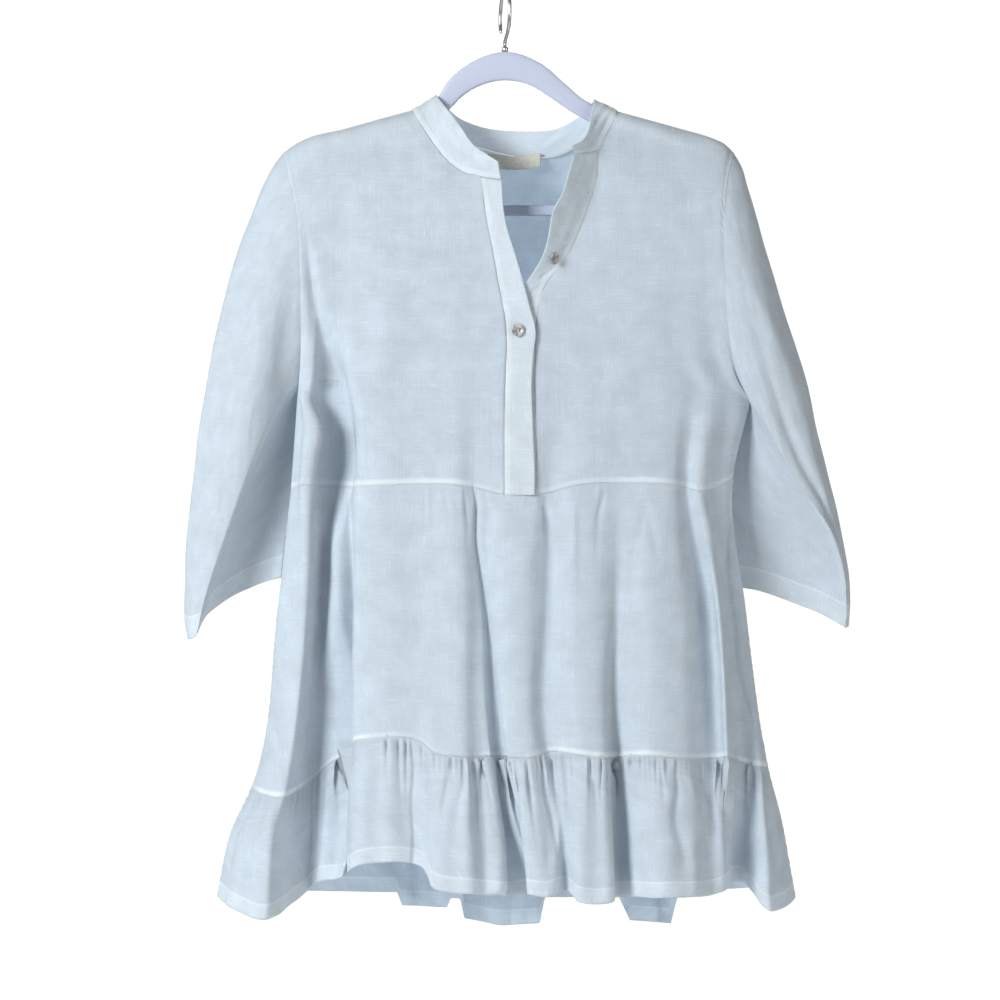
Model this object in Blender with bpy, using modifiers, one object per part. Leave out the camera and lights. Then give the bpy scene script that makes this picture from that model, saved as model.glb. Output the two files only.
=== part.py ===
"""A linen babydoll top with three-quarter sleeves, hung on a flat plastic hanger.

The garment hangs in the XZ plane with its front towards -Y, and the origin is the inner top of the hanger's
hook, where a rail would carry it. The tables are read off a front drawing: each place is given in the
drawing's squares, across and down, with its depth in millimetres, negative towards the front. drawn() turns
it into millimetres, and place() moves a cloth point along the eye's line of sight to its own depth.
"""

import math

import bmesh
import bpy
import numpy as np
from mathutils import Vector

SQUARE = 0.95
MIDDLE_ACROSS = 505
ORIGIN_DOWN = -8
EYE_DISTANCE = 2400.0
EYE_X = -4.75
EYE_Z = -482.5

CLOTH = 1.2
BAND = 1.6
SEAM_GAP = 0.3
ARMHOLE_GAP = 1.1
FOLDED_GAP = 1.3
GATHERED_GAP = 0.6

HANGER_THICK = 7.0
HOOK_WIRE = 3.5
FERRULE = 6.4
FERRULE_TALL = 4.0
HOOK_TURN = math.radians(80)
BUTTON_RADIUS = 6.0
BUTTON_THICK = 2.2
BUTTON_EDGE = 0.6

LINEN = (0.74, 0.79, 0.84)
PLASTIC = (0.66, 0.69, 0.84)
STEEL = (0.55, 0.56, 0.58)
SHELL = (0.42, 0.43, 0.46)
LABEL = (0.72, 0.68, 0.58)


def drawn(*places):
    """Places on the front drawing (across, down, depth) as points in millimetres."""
    p = np.asarray(places, float)
    return np.stack(
        [(p[..., 0] - MIDDLE_ACROSS) * SQUARE, p[..., 2], (ORIGIN_DOWN - p[..., 1]) * SQUARE], axis=-1
    )


# One row for each fold round the body, from the wearer's right side across the front to the left side and
# home round the back. Its places lie at the chest, the waist, the hip, the ruffle's seam, the ruffle's brim
# and the hem.
FOLDS = {
    "side_right": (
        (298, 388, 0), (291, 488, 0), (278, 610, 0), (252, 786, 0), (232, 830, 0), (218, 893, 0),
    ),
    "band_right": (
        (309, 388, -12), (309, 486, -26), (306, 608, -34), (282, 797, -46), (272, 838, -52), (264, 920, -56),
    ),
    "valley_right": (
        (326, 388, -7), (328, 486, -5), (322, 608, -4), (312, 780, -8), (312, 835, -6), (310, 889, -5),
    ),
    "ridge_right": (
        (341, 388, -17), (342, 486, -22), (337, 608, -28), (347, 743, -42), (341, 812, -48), (335, 873, -50),
    ),
    "front_1": (
        (362, 388, -26), (366, 486, -34), (364, 608, -42), (372, 739, -54), (372, 800, -60), (374, 863, -62),
    ),
    "front_2": (
        (415, 388, -27), (418, 484, -37), (420, 610, -46), (419, 741, -59), (421, 805, -62), (424, 869, -64),
    ),
    "front_3": (
        (432, 388, -28), (434, 484, -38), (434, 610, -48), (437, 754, -64), (436, 822, -70), (432, 887, -76),
    ),
    "front_4": (
        (458, 388, -29), (459, 485, -40), (464, 610, -51), (464, 757, -68), (466, 826, -76), (468, 894, -81),
    ),
    "fold_mid": (
        (474, 388, -29), (475, 488, -36), (486, 610, -40), (492, 757, -50), (500, 826, -50), (513, 896, -50),
    ),
    "placket_in": (
        (505, 392, -30), (505, 495, -42), (506, 611, -53), (510, 758, -66), (520, 828, -74), (530, 895, -77),
    ),
    "placket_out": (
        (535, 392, -30), (535, 495, -42), (528, 611, -54), (530, 758, -69), (538, 828, -78), (546, 897, -82),
    ),
    "front_5": (
        (560, 388, -29), (549, 493, -38), (547, 610, -46), (549, 752, -60), (557, 825, -68), (566, 891, -70),
    ),
    "front_6": (
        (585, 388, -29), (574, 486, -42), (576, 610, -55), (581, 755, -71), (580, 829, -80), (578, 902, -85),
    ),
    "front_7": (
        (605, 388, -28), (598, 483, -41), (600, 610, -53), (602, 758, -68), (603, 829, -76), (605, 904, -80),
    ),
    "fold_left": (
        (620, 388, -28), (617, 483, -38), (617, 610, -45), (615, 757, -56), (618, 828, -58), (620, 897, -60),
    ),
    "front_8": (
        (650, 388, -26), (650, 483, -38), (652, 610, -51), (652, 756, -67), (655, 828, -75), (656, 898, -79),
    ),
    "front_9": (
        (678, 388, -23), (674, 485, -34), (682, 610, -45), (686, 759, -60), (690, 828, -68), (694, 897, -71),
    ),
    "valley_left": (
        (695, 388, -19), (687, 488, -25), (706, 610, -31), (711, 758, -44), (712, 826, -50), (712, 895, -52),
    ),
    "ridge_left": (
        (712, 388, -17), (697, 491, -32), (717, 610, -43), (725, 757, -54), (726, 824, -54), (727, 890, -50),
    ),
    "turn_left": (
        (732, 390, -8), (719, 486, -16), (731, 610, -20), (745, 763, -22), (743, 820, -18), (741, 882, -12),
    ),
    "lobe_left": (
        (744, 396, -4), (729, 481, -9), (742, 610, -12), (759, 766, -26), (766, 838, -38), (770, 911, -46),
    ),
    "side_left": (
        (751, 400, 0), (733, 478, 0), (746, 610, 0), (768, 766, 0), (782, 822, 0), (795, 895, 0),
    ),
    "back_1": (
        (737, 394, 8), (722, 486, 12), (732, 610, 14), (745, 766, 20), (756, 826, 26), (765, 888, 32),
    ),
    "back_2": (
        (692, 390, 18), (684, 486, 24), (690, 610, 32), (700, 764, 42), (704, 828, 50), (706, 892, 56),
    ),
    "back_3": (
        (655, 390, 22), (650, 486, 28), (652, 610, 30), (662, 762, 34), (668, 830, 36), (674, 904, 38),
    ),
    "back_4": (
        (620, 390, 24), (618, 486, 32), (622, 610, 42), (636, 764, 54), (644, 838, 62), (650, 922, 66),
    ),
    "back_5": (
        (575, 390, 25), (575, 486, 32), (580, 610, 36), (588, 762, 42), (592, 830, 44), (596, 904, 46),
    ),
    "back_6": (
        (530, 390, 26), (530, 487, 34), (528, 610, 44), (528, 764, 56), (526, 840, 64), (522, 925, 68),
    ),
    "back_7": (
        (485, 390, 25), (485, 487, 34), (484, 610, 42), (482, 764, 52), (482, 838, 60), (484, 924, 64),
    ),
    "back_8": (
        (455, 390, 24), (455, 486, 31), (455, 610, 34), (455, 762, 38), (456, 828, 40), (457, 902, 42),
    ),
    "back_9": (
        (425, 390, 23), (425, 486, 30), (424, 610, 38), (424, 762, 48), (426, 830, 54), (428, 907, 58),
    ),
    "back_10": (
        (385, 390, 21), (385, 486, 27), (382, 610, 32), (380, 762, 38), (384, 826, 42), (392, 892, 44),
    ),
    "back_11": (
        (345, 390, 17), (345, 486, 22), (338, 610, 30), (325, 765, 40), (326, 826, 46), (335, 891, 50),
    ),
    "back_12": (
        (315, 390, 9), (310, 486, 12), (298, 610, 14), (275, 778, 20), (262, 830, 26), (256, 890, 30),
    ),
}

# Lines that two or more pieces share.
SHOULDER_RIGHT = drawn(
    (284, 152, 0), (297, 143, 0), (310, 137, 0), (343, 129, 0), (375, 120, 0), (412, 110, 0),
)
SHOULDER_LEFT = drawn(
    (734, 153, 0), (725, 144, 0), (710, 137, 0), (686, 130, 0), (650, 120, 0), (617, 111, 0),
)
ARMHOLE_RIGHT = drawn(
    (284, 152, 0), (290, 180, 0), (296, 210, 0), (300, 275, 0), (301, 335, 0), (300, 365, 0),
    (298, 388, 0),
)
ARMHOLE_LEFT = drawn(
    (734, 153, 0), (728, 180, 0), (725, 210, 0), (724, 250, 0), (726, 300, 0), (730, 345, 0),
    (738, 378, 0), (751, 400, 0),
)
ARMHOLE_DEPTH = 24.0
# Where the columns of each front lie, counted in folds from its side to its placket.
PLACES_RIGHT = np.array([0, 0.5, 1, 1.5, 2, 2.5, 3, 3.5, 4, 5, 6, 7, 7.5, 8, 9])
PLACES_LEFT = np.array([21, 20.5, 20, 19.5, 19, 18.5, 18, 17.5, 17, 16, 15, 14, 13, 12, 11, 10])
# How far down the upper bodice each of its rows lies, and how far along the neck's seam the first few lie.
ROWS = np.array([0, 0.008, 0.022, 0.05, 0.1, 0.16, 0.23, 0.3, 0.38, 0.46, 0.55, 0.64, 0.73, 0.82, 0.91, 1])
NECK_ROWS = np.array([0, 0.05, 0.1, 0.22, 0.42, 0.62, 0.82, 1])
SHOULDER_ROUND = 8.0

# The seam where the collar joins the fronts, then the placket's long edge down to the chest.
NECK_RIGHT = drawn(
    (412, 110, 0), (414, 113, -8), (425, 131, -13), (437, 148, -19), (450, 163, -24), (463, 172, -27),
    (481, 177, -29),
)
PLACKET_SEAM_RIGHT = drawn(
    (481, 177, -29), (487, 220, -29.5), (493, 250, -30), (500, 290, -30), (505, 315, -30),
    (507, 345, -30), (506, 370, -30), (505, 392, -30),
)
NECK_LEFT = drawn((617, 111, 0), (616, 114, -8), (611, 127, -11), (605, 139, -15), (599, 150, -19))
PLACKET_SEAM_LEFT = drawn(
    (599, 150, -19), (598, 171, -23), (592, 196, -25), (586, 215, -26), (578, 235, -27),
    (568, 255, -28), (555, 272, -28.5), (543, 289, -29), (537, 312, -30), (535, 345, -30),
    (535, 392, -30),
)
NECK_BACK = drawn(
    (412, 110, 0), (414, 113, 8), (428, 124, 12), (450, 137, 16), (476, 147, 19), (522, 157, 22),
    (560, 155, 20), (584, 142, 16), (603, 127, 12), (616, 114, 8), (617, 111, 0),
)

# The free edges of the two plackets, and the seams of their lower ends.
OVER_EDGE = drawn(
    (501, 180, -33), (503, 210, -33.5), (507, 230, -34), (515, 255, -34.5), (524, 287, -35),
    (530, 310, -35), (535, 330, -34.5), (533, 352, -34), (531, 380, -34), (532, 420, -37),
    (534, 470, -43), (534, 495, -46),
)
UNDER_EDGE = drawn(
    (574, 156, -34), (570, 171, -37), (562, 196, -39), (554, 210, -39), (551, 225, -38.5),
    (548, 242, -37.5), (543, 257, -36), (534, 272, -33), (524, 287, -31), (513, 306, -29),
    (510, 335, -28), (509, 392, -28), (509, 494, -39),
)
OVER_SEAM_LOW = drawn((505, 420, -33.5), (505, 460, -38.5), (505, 495, -42))
UNDER_SEAM_LOW = drawn((535, 420, -33.5), (535, 460, -38.5), (535, 494, -42))

# Round the collar, from the end on the over placket past the back to the end on the under placket.
COLLAR = (
    # lower edge, upper edge
    ((501, 179, -32), (498, 162, -36)),
    ((481, 176, -29), (485, 154, -33)),
    ((463, 171, -27), (472, 144, -28)),
    ((450, 162, -24), (463, 131, -24)),
    ((437, 147, -19), (452, 116, -19)),
    ((425, 130, -13), (444, 106, -13)),
    ((414, 112, -8), (437, 97, -8)),
    ((412, 109, 0), (436, 95, 0)),
    ((414, 112, 8), (438, 98, 9)),
    ((428, 123, 12), (446, 107, 13)),
    ((450, 136, 16), (458, 118, 17)),
    ((476, 146, 19), (476, 126, 20)),
    ((522, 156, 22), (522, 132, 23)),
    ((560, 154, 20), (558, 129, 21)),
    ((584, 141, 16), (577, 119, 17)),
    ((603, 126, 12), (590, 108, 13)),
    ((616, 113, 8), (594, 101, 9)),
    ((617, 110, 0), (595, 99, 0)),
    ((616, 113, -8), (594, 103, -9)),
    ((611, 126, -11), (592, 115, -17)),
    ((605, 138, -15), (590, 127, -24)),
    ((599, 149, -19), (586, 137, -30)),
    ((586, 153, -27), (580, 143, -37)),
    ((575, 155, -34), (573, 146, -43)),
)

# Down each sleeve: the outer silhouette, the underarm fold that stands towards the eye, and the inner line
# beside the body. The cuff lines run between their lower ends.
SLEEVE_RIGHT = {
    "outer": drawn(
        (284, 152, 0), (273, 167, 0), (262, 188, 0), (252, 214, 1), (241, 240, 1), (230, 275, 2),
        (221, 310, 2), (212, 351, 2), (206, 384, 2), (199, 423, 1), (194, 467, 0), (190, 499, -2),
        (186, 543, -4), (185, 586, -6), (185, 625, -8), (187, 637, -8),
    ),
    "fold": drawn(
        (298, 388, 0), (286, 395, -8), (273, 419, -16), (258, 452, -22), (245, 484, -26),
        (234, 514, -28), (223, 545, -30), (212, 577, -32), (204, 603, -33), (197, 635, -34),
    ),
    "inner": drawn(
        (298, 388, 0), (301, 402, 9), (300, 430, 15), (297, 470, 17), (292, 520, 18), (286, 560, 19),
        (285, 577, 20),
    ),
    "cuff_front": drawn((187, 637, -8), (190, 639, -20), (197, 635, -34)),
    "cuff_under": drawn(
        (197, 635, -34), (206, 616, -27), (217, 606, -20), (234, 595, -10), (252, 587, 0),
        (267, 581, 10), (285, 577, 20),
    ),
    "cuff_back": drawn((285, 577, 20), (262, 578, 34), (235, 590, 36), (208, 612, 24), (187, 637, -8)),
}
SLEEVE_LEFT = {
    "outer": drawn(
        (734, 153, 0), (742, 166, 0), (749, 189, 0), (761, 230, 1), (773, 269, 2), (785, 310, 2),
        (797, 347, 2), (810, 390, 3), (817, 428, 4), (829, 477, 8), (839, 516, 13), (845, 550, 18),
        (849, 574, 20), (850, 598, 22), (847, 624, 24),
    ),
    "fold": drawn(
        (751, 400, 0), (757, 415, -9), (771, 436, -15), (785, 462, -18), (802, 489, -18),
        (819, 511, -16), (831, 530, -13), (842, 560, -7), (847, 594, -4), (846, 628, -2),
    ),
    "inner": drawn(
        (751, 400, 0), (744, 416, 9), (735, 445, 15), (728, 472, 17), (729, 500, 18), (736, 540, 19),
        (739, 587, 20),
    ),
    "cuff_front": drawn((847, 624, 24), (849, 626, 11), (846, 628, -2)),
    "cuff_under": drawn(
        (846, 628, -2), (836, 622, 1), (819, 613, 5), (801, 606, 9), (783, 599, 13), (756, 590, 17),
        (739, 587, 20),
    ),
    "cuff_back": drawn((739, 587, 20), (765, 586, 40), (795, 594, 50), (825, 608, 44), (847, 624, 24)),
}
SLEEVE_FULL_FRONT = 14.0
SLEEVE_FULL_BACK = 16.0

COLLAR_MIDDLE_X = 10.0

# The fastened button on the over placket, and the loose one on the under placket.
BUTTON_1 = drawn((518, 330, -34.4))[0]
BUTTON_2 = drawn((555, 258, -35.0))[0]

LABEL_LEFT = -16.0
LABEL_WIDE = 50.0
LABEL_TOP = -153.0
LABEL_TALL = 13.0
LABEL_DEPTH = 17.0
LABEL_THICK = 0.7
# How far its middle stands back from its ends, how far its lower edge hangs forward, and how far it sags.
LABEL_BOW = 2.2
LABEL_LEAN = 0.8
LABEL_SAG = 3.0

# The hanger's loop: one row for each point of its centre line, with the height of its section there.
HANGER = (
    # centre, height of the section
    ((505, 66, 0), 27),
    ((478, 73, 0), 24),
    ((456, 88, 0), 20),
    ((443, 104, 0), 16),
    ((422, 118, 0), 16),
    ((395, 126.5, 0), 16),
    ((360, 137.5, 0), 16),
    ((325, 146, 0), 16),
    ((308, 150, 0), 15),
    ((297, 165, 0), 12),
    ((298, 187, 0), 10),
    ((306, 203, 0), 10),
    ((325, 210.5, 0), 10),
    ((400, 210.5, 0), 10),
    ((505, 210.5, 0), 10),
    ((610, 210.5, 0), 10),
    ((698, 210.5, 0), 10),
    ((716, 203, 0), 10),
    ((724, 187, 0), 10),
    ((725, 166, 0), 12),
    ((713, 151, 0), 15),
    ((695, 145, 0), 16),
    ((665, 137, 0), 16),
    ((635, 128, 0), 16),
    ((607, 119.5, 0), 16),
    ((580, 107, 0), 16),
    ((556, 89, 0), 19),
    ((535, 74, 0), 23),
)
# The hook's centre line in its own plane: distance from the stem's line, and height.
HOOK = (
    (0.0, -56.4), (0.0, -48.0), (9.0, -43.5), (19.5, -37.0), (25.0, -26.0), (24.5, -13.0), (16.0, -2.0),
    (0.0, 1.75), (-15.0, -2.5), (-24.0, -14.0), (-25.5, -27.0), (-22.0, -35.0),
)

# The gathers of the ruffle: how many stand across each half, the levels of its rows, counted in FOLDS, and
# how deep the gathers are in each row.
RUFFLE_WAVES_FRONT = 26
RUFFLE_WAVES_BACK = 24
RUFFLE_ROWS = np.array([3, 3.35, 3.9, 4.5, 5])
RUFFLE_DEPTHS = np.array([0, 2.3, 2.6, 2.5, 2.3])

# How finely each form is divided.
WAVE_COLUMNS = 4
SLEEVE_ROWS = 12
SLEEVE_FACE = 8
SLEEVE_UNDER = 5
ARMHOLE_STEPS = 160
# The last few steps of the armhole, at its foot, belong to the part of the sleeve under the fold.
FOOT_STEPS = 4
HANGER_SIDES = 12
HOOK_POINTS = 40

for old in list(bpy.data.objects):
    bpy.data.objects.remove(old)


def through(points, at):
    """A smooth curve through the rows of points, at places counted in rows."""
    p = np.asarray(points, float)
    at = np.asarray(at, float)
    length = np.maximum(np.linalg.norm(np.diff(p, axis=0), axis=-1, keepdims=True), 1e-6)
    rate = np.diff(p, axis=0) / length
    slope = np.concatenate([rate[:1], rate[-1:]])
    if len(p) > 2:
        inner = (length[1:] * rate[:-1] + length[:-1] * rate[1:]) / (length[1:] + length[:-1])
        slope = np.concatenate([rate[:1], inner, rate[-1:]])
    i = np.clip(np.floor(at).astype(int), 0, len(p) - 2)
    f = (at - i).reshape(-1, *([1] * (p.ndim - 1)))
    h = length[i]
    return (
        (2 * f**3 - 3 * f**2 + 1) * p[i]
        + (f**3 - 2 * f**2 + f) * h * slope[i]
        + (3 * f**2 - 2 * f**3) * p[i + 1]
        + (f**3 - f**2) * h * slope[i + 1]
    )


def evenly(points, count, start=0.0, end=1.0):
    """Places along points, counted in rows, at equal steps of the way from start to end."""
    p = np.asarray(points, float)
    way = np.concatenate([[0.0], np.cumsum(np.linalg.norm(np.diff(p, axis=0), axis=1))])
    return np.interp(np.linspace(start, end, count) * way[-1], way, np.arange(len(p)))


def line(points, count):
    return through(points, evenly(points, count))


def along(points, parts):
    """Points at these parts (0 to 1) of the way along a curve."""
    last = len(points) - 1
    fine = evenly(points, 401)
    return through(points, np.interp(parts, np.linspace(0, 1, 401), fine).clip(0, last))


def round_body(levels, places):
    """The body's surface at these levels and places round it, both counted in FOLDS."""
    table = drawn(*FOLDS.values())
    ring = np.concatenate([table[-3:], table, table[:3]])
    around = through(ring, np.asarray(places) + 3)
    return through(np.moveaxis(around, 0, 1), levels)


def armhole(seam, parts, side):
    """The armhole's seam on one side (front -1, back 1): its depth grows from the shoulder, then closes."""
    points = along(seam, parts)
    points[:, 1] = side * ARMHOLE_DEPTH * np.abs(np.sin(math.pi * parts**0.75)) ** 0.7
    return points


def patch(top, bottom, left, right, parts=None):
    """Fills four lines that meet at their corners, its rows from top to bottom at these parts of the way.

    The depth of the top and bottom lines fades faster than their outline, so that the middle stays flat.
    """
    s = np.linspace(0, 1, len(top))[None, :, None]
    t = np.linspace(0, 1, len(left)) if parts is None else parts
    t = t[:, None, None]
    fade = np.array([1, 3, 1])
    across = (1 - s) * left[:, None] + s * right[:, None]
    above = top[None] - ((1 - s) * top[0] + s * top[-1])
    below = bottom[None] - ((1 - s) * bottom[0] + s * bottom[-1])
    return across + (1 - t) ** fade * above + t**fade * below


def over_shoulder(grid, weight, side):
    """Rounds the cloth over the hanger just below the shoulder line, by weight in each column."""
    drop = (grid[0, :, 2][None] - grid[:, :, 2]) / SHOULDER_ROUND
    need = SHOULDER_ROUND * np.sqrt(1 - (1 - np.clip(drop, 0, 1)) ** 2) * weight[None]
    depth = np.abs(grid[:, :, 1])
    grid[:, :, 1] = side * (depth**4 + need**4) ** 0.25
    return grid


def place(grid):
    """Moves points that are given as seen from the front out to their depth along the line of sight."""
    out = np.array(grid, float)
    grow = 1 + out[..., 1] / EYE_DISTANCE
    out[..., 0] = EYE_X + (out[..., 0] - EYE_X) * grow
    out[..., 2] = EYE_Z + (out[..., 2] - EYE_Z) * grow
    return out


def normals(grid, ring, outward, level=()):
    """The normal at each point, turned to the side of outward, and level in the rows that meet a seam."""
    if ring:
        across = np.roll(grid, -1, axis=1) - np.roll(grid, 1, axis=1)
    else:
        across = np.gradient(grid, axis=1)
    normal = np.cross(across, np.gradient(grid, axis=0))
    if (normal * outward).sum() < 0:
        normal = -normal
    if not ring:
        seam = np.abs(grid[..., 1]) < 1
        normal[..., 1][seam] = 0
    normal[list(level), :, 2] = 0
    return normal / np.maximum(np.linalg.norm(normal, axis=-1, keepdims=True), 1e-9)


def pull_in(grid, sides, amount):
    """Draws the named edges of a grid back by amount, along its own lines."""
    out = grid.copy()
    for side in sides:
        index = {"top": (0, 1), "bottom": (-1, -2)}.get(side)
        if index:
            step = grid[index[1]] - grid[index[0]]
            out[index[0]] += amount * step / np.linalg.norm(step, axis=-1, keepdims=True)
        else:
            index = {"left": (0, 1), "right": (-1, -2)}[side]
            step = grid[:, index[1]] - grid[:, index[0]]
            out[:, index[0]] += amount * step / np.linalg.norm(step, axis=-1, keepdims=True)
    return out


def part_at_seams(grid, side):
    """Leaves half the seam's gap at each edge of a panel, and half of it at the middle plane."""
    out = pull_in(grid, ("top", "bottom", "left", "right"), SEAM_GAP / 2)
    out[..., 1] = side * np.maximum(side * out[..., 1], SEAM_GAP / 2)
    return out


def material(name, colour, roughness, metallic=0.0):
    made = bpy.data.materials.new(name)
    made.use_nodes = True
    shader = made.node_tree.nodes["Principled BSDF"]
    shader.inputs["Base Color"].default_value = (*colour, 1)
    shader.inputs["Roughness"].default_value = roughness
    shader.inputs["Metallic"].default_value = metallic
    made.diffuse_color = (*colour, 1)
    return made


def add(name, points, faces, made):
    mesh = bpy.data.meshes.new(name)
    mesh.from_pydata([tuple(p) for p in np.asarray(points) / 1000], [], faces)
    shape = bmesh.new()
    shape.from_mesh(mesh)
    bmesh.ops.recalc_face_normals(shape, faces=shape.faces)
    shape.to_mesh(mesh)
    shape.free()
    mesh.shade_smooth()
    obj = bpy.data.objects.new(name, mesh)
    obj.data.materials.append(made)
    COLLECTION.objects.link(obj)
    return obj


def wall(name, grid, made, outward, thick=CLOTH, ring=False, level=()):
    """A wall of one thickness whose outer face is grid, lofted row by row and closed at its ends."""
    normal = normals(grid, ring, outward, level)
    rows, columns = grid.shape[:2]
    outer = grid.reshape(-1, 3)
    inner = (grid - thick * normal).reshape(-1, 3)
    count = rows * columns
    wraps = columns if ring else columns - 1
    faces = []
    for r in range(rows - 1):
        for c in range(wraps):
            e = (c + 1) % columns
            a, b, f, g = r * columns + c, r * columns + e, (r + 1) * columns + e, (r + 1) * columns + c
            faces.append((a, b, f, g))
            faces.append((count + g, count + f, count + b, count + a))
    low = (rows - 1) * columns
    for c in range(wraps):
        e = (c + 1) % columns
        faces.append((count + c, count + e, e, c))
        faces.append((low + c, low + e, count + low + e, count + low + c))
    if not ring:
        for a in range(0, low, columns):
            faces.append((count + a, a, a + columns, count + a + columns))
            b = a + columns - 1
            faces.append((b, count + b, count + b + columns, b + columns))
    return add(name, np.concatenate([outer, inner]), faces, made)


def loop(name, centres, sections, made):
    """A closed solid ring through sections, each a ring of points about its centre."""
    count, sides = len(centres), sections.shape[1]
    faces = []
    for i in range(count):
        j = (i + 1) % count
        for k in range(sides):
            m = (k + 1) % sides
            faces.append((i * sides + k, i * sides + m, j * sides + m, j * sides + k))
    return add(name, (centres[:, None] + sections).reshape(-1, 3), faces, made)


def front_bodice(at, shoulder, armhole_seam, neck, placket):
    """One front, from the shoulder to the waist, its columns from the side to the placket."""
    weight = np.ones(len(at))
    weight[[0, -1]] = 0
    neck_rows = len(NECK_ROWS)
    inner = np.concatenate([along(neck, NECK_ROWS), line(placket, len(ROWS) - neck_rows + 1)[1:]])
    side = armhole(armhole_seam, ROWS, -1)
    upper = patch(line(shoulder, len(at)), round_body([0], at)[0], side, inner, ROWS)
    upper = over_shoulder(upper, weight, -1)
    grid = np.concatenate([upper[:-1], round_body(np.linspace(0, 1, 5), at)])
    return part_at_seams(grid, -1)


def back_bodice(at):
    """The back, between both armholes, from the shoulders and the neck to the waist."""
    wide = len(at) // 4
    shoulders = line(SHOULDER_LEFT, wide + 1), line(SHOULDER_RIGHT[::-1], wide + 1)
    neck = line(NECK_BACK[::-1], len(at) - 2 * wide)
    top = np.concatenate([shoulders[0], neck[1:-1], shoulders[1]])
    weight = np.zeros(len(at))
    weight[1 : wide + 1] = 1
    weight[-wide - 1 : -1] = 1
    sides = [armhole(seam, ROWS, 1) for seam in (ARMHOLE_LEFT, ARMHOLE_RIGHT)]
    upper = patch(top, round_body([0], at)[0], *sides, ROWS)
    upper = over_shoulder(upper, weight, 1)
    grid = np.concatenate([upper[:-1], round_body(np.linspace(0, 1, 4), at)])
    return part_at_seams(grid, 1)


def skirt(at, side):
    grid = round_body(np.linspace(1, 3, 8), at)
    return part_at_seams(grid, side)


def ruffle(skirt_places, waves, outward):
    """The gathered tier under the skirt. Its top row lies on the skirt's edge, and its waves grow below."""
    fine = np.linspace(skirt_places[0], skirt_places[-1], 400)
    brim = round_body([4], fine)[0]
    at = np.interp(evenly(brim, waves * WAVE_COLUMNS + 1), np.arange(len(fine)), fine)
    grid = round_body(RUFFLE_ROWS, at)
    edge = round_body([3], skirt_places)[0]
    grid[0] = np.stack([np.interp(at, skirt_places, edge[:, k]) for k in range(3)], axis=-1)
    normal = normals(grid, False, outward)
    s = np.linspace(0, 1, len(at))
    # The gathers drift in pitch and in depth, so that no two are alike, and die out at the side seams.
    ends = np.clip(np.minimum(s, 1 - s) * 18, 0, 1)
    wave = np.sin(2 * math.pi * waves * s + 1.1 * np.sin(14 * s)) * (0.75 + 0.25 * np.sin(31 * s))
    grid += (RUFFLE_DEPTHS[:, None] * (wave * ends)[None])[..., None] * normal
    return part_at_seams(pull_in(grid, ("top",), GATHERED_GAP), outward[1])


def sleeve(lines, seam):
    """One sleeve as a ring of three faces: the front, the part under the fold, and the back."""
    whole = {side: armhole(seam, np.linspace(0, 1, ARMHOLE_STEPS + 1), side) for side in (-1, 1)}
    foot = ARMHOLE_STEPS - FOOT_STEPS
    top_front = line(whole[-1][: foot + 1], SLEEVE_FACE + 1)
    top_under = line(np.concatenate([whole[-1][foot:], whole[1][foot:-1][::-1]]), SLEEVE_UNDER + 1)
    top_back = line(whole[1][: foot + 1][::-1], SLEEVE_FACE + 1)
    outer = line(lines["outer"], SLEEVE_ROWS)
    folded = line((top_front[-1], *lines["fold"][1:]), SLEEVE_ROWS)
    inner = line((top_back[0], *lines["inner"][1:]), SLEEVE_ROWS)
    front = patch(top_front, line(lines["cuff_front"], SLEEVE_FACE + 1), outer, folded)
    under = patch(top_under, line(lines["cuff_under"], SLEEVE_UNDER + 1), folded, inner)
    back = patch(top_back, line(lines["cuff_back"], SLEEVE_FACE + 1), inner, outer)
    t = np.linspace(0, 1, SLEEVE_ROWS)[:, None]
    # The fullness grows quickly below the armhole and falls off a little towards the cuff.
    full = np.sin(math.pi * np.minimum(t * 1.6, 0.5 + t * 0.3))
    swell = np.sin(math.pi * np.linspace(0, 1, SLEEVE_FACE + 1))[None] * full
    front[:, :, 1] -= SLEEVE_FULL_FRONT * swell
    back[:, :, 1] += SLEEVE_FULL_BACK * swell
    ring = np.concatenate([front[:, :-1], under[:, :-1], back[:, :-1]], axis=1)
    return pull_in(ring, ("top",), ARMHOLE_GAP)


def collar():
    lower, upper = np.moveaxis(drawn(*COLLAR), 1, 0)
    at = np.linspace(0, len(COLLAR) - 1, 2 * len(COLLAR) - 1)
    low, high = through(lower, at), through(upper, at)
    low[:, 2] += SEAM_GAP
    t = np.linspace(0, 1, 4)[:, None, None]
    return (1 - t) * low[None] + t * high[None]


def strip(seam, edge, rows, columns, gap):
    """A placket: a long band between its seam and its free edge."""
    one, two = line(seam, rows), line(edge, rows)
    s = np.linspace(0, 1, columns)[None, :, None]
    grid = (1 - s) * one[:, None] + s * two[:, None]
    return pull_in(pull_in(grid, ("top", "bottom"), SEAM_GAP), ("left",), gap)


def button(name, centre, facing, made):
    """A round button with a softened edge, its face turned to facing."""
    bpy.ops.mesh.primitive_cylinder_add(vertices=28, radius=BUTTON_RADIUS / 1000, depth=BUTTON_THICK / 1000)
    obj = bpy.context.object
    obj.name = obj.data.name = name
    obj.location = np.asarray(centre) / 1000
    obj.rotation_mode = "QUATERNION"
    obj.rotation_quaternion = Vector(facing).to_track_quat("Z", "Y")
    bevel = obj.modifiers.new("edge", "BEVEL")
    bevel.width = BUTTON_EDGE / 1000
    bevel.segments = 2
    bevel.limit_method = "ANGLE"
    obj.data.shade_smooth()
    obj.data.materials.append(made)
    for collection in list(obj.users_collection):
        collection.objects.unlink(obj)
    COLLECTION.objects.link(obj)


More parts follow.
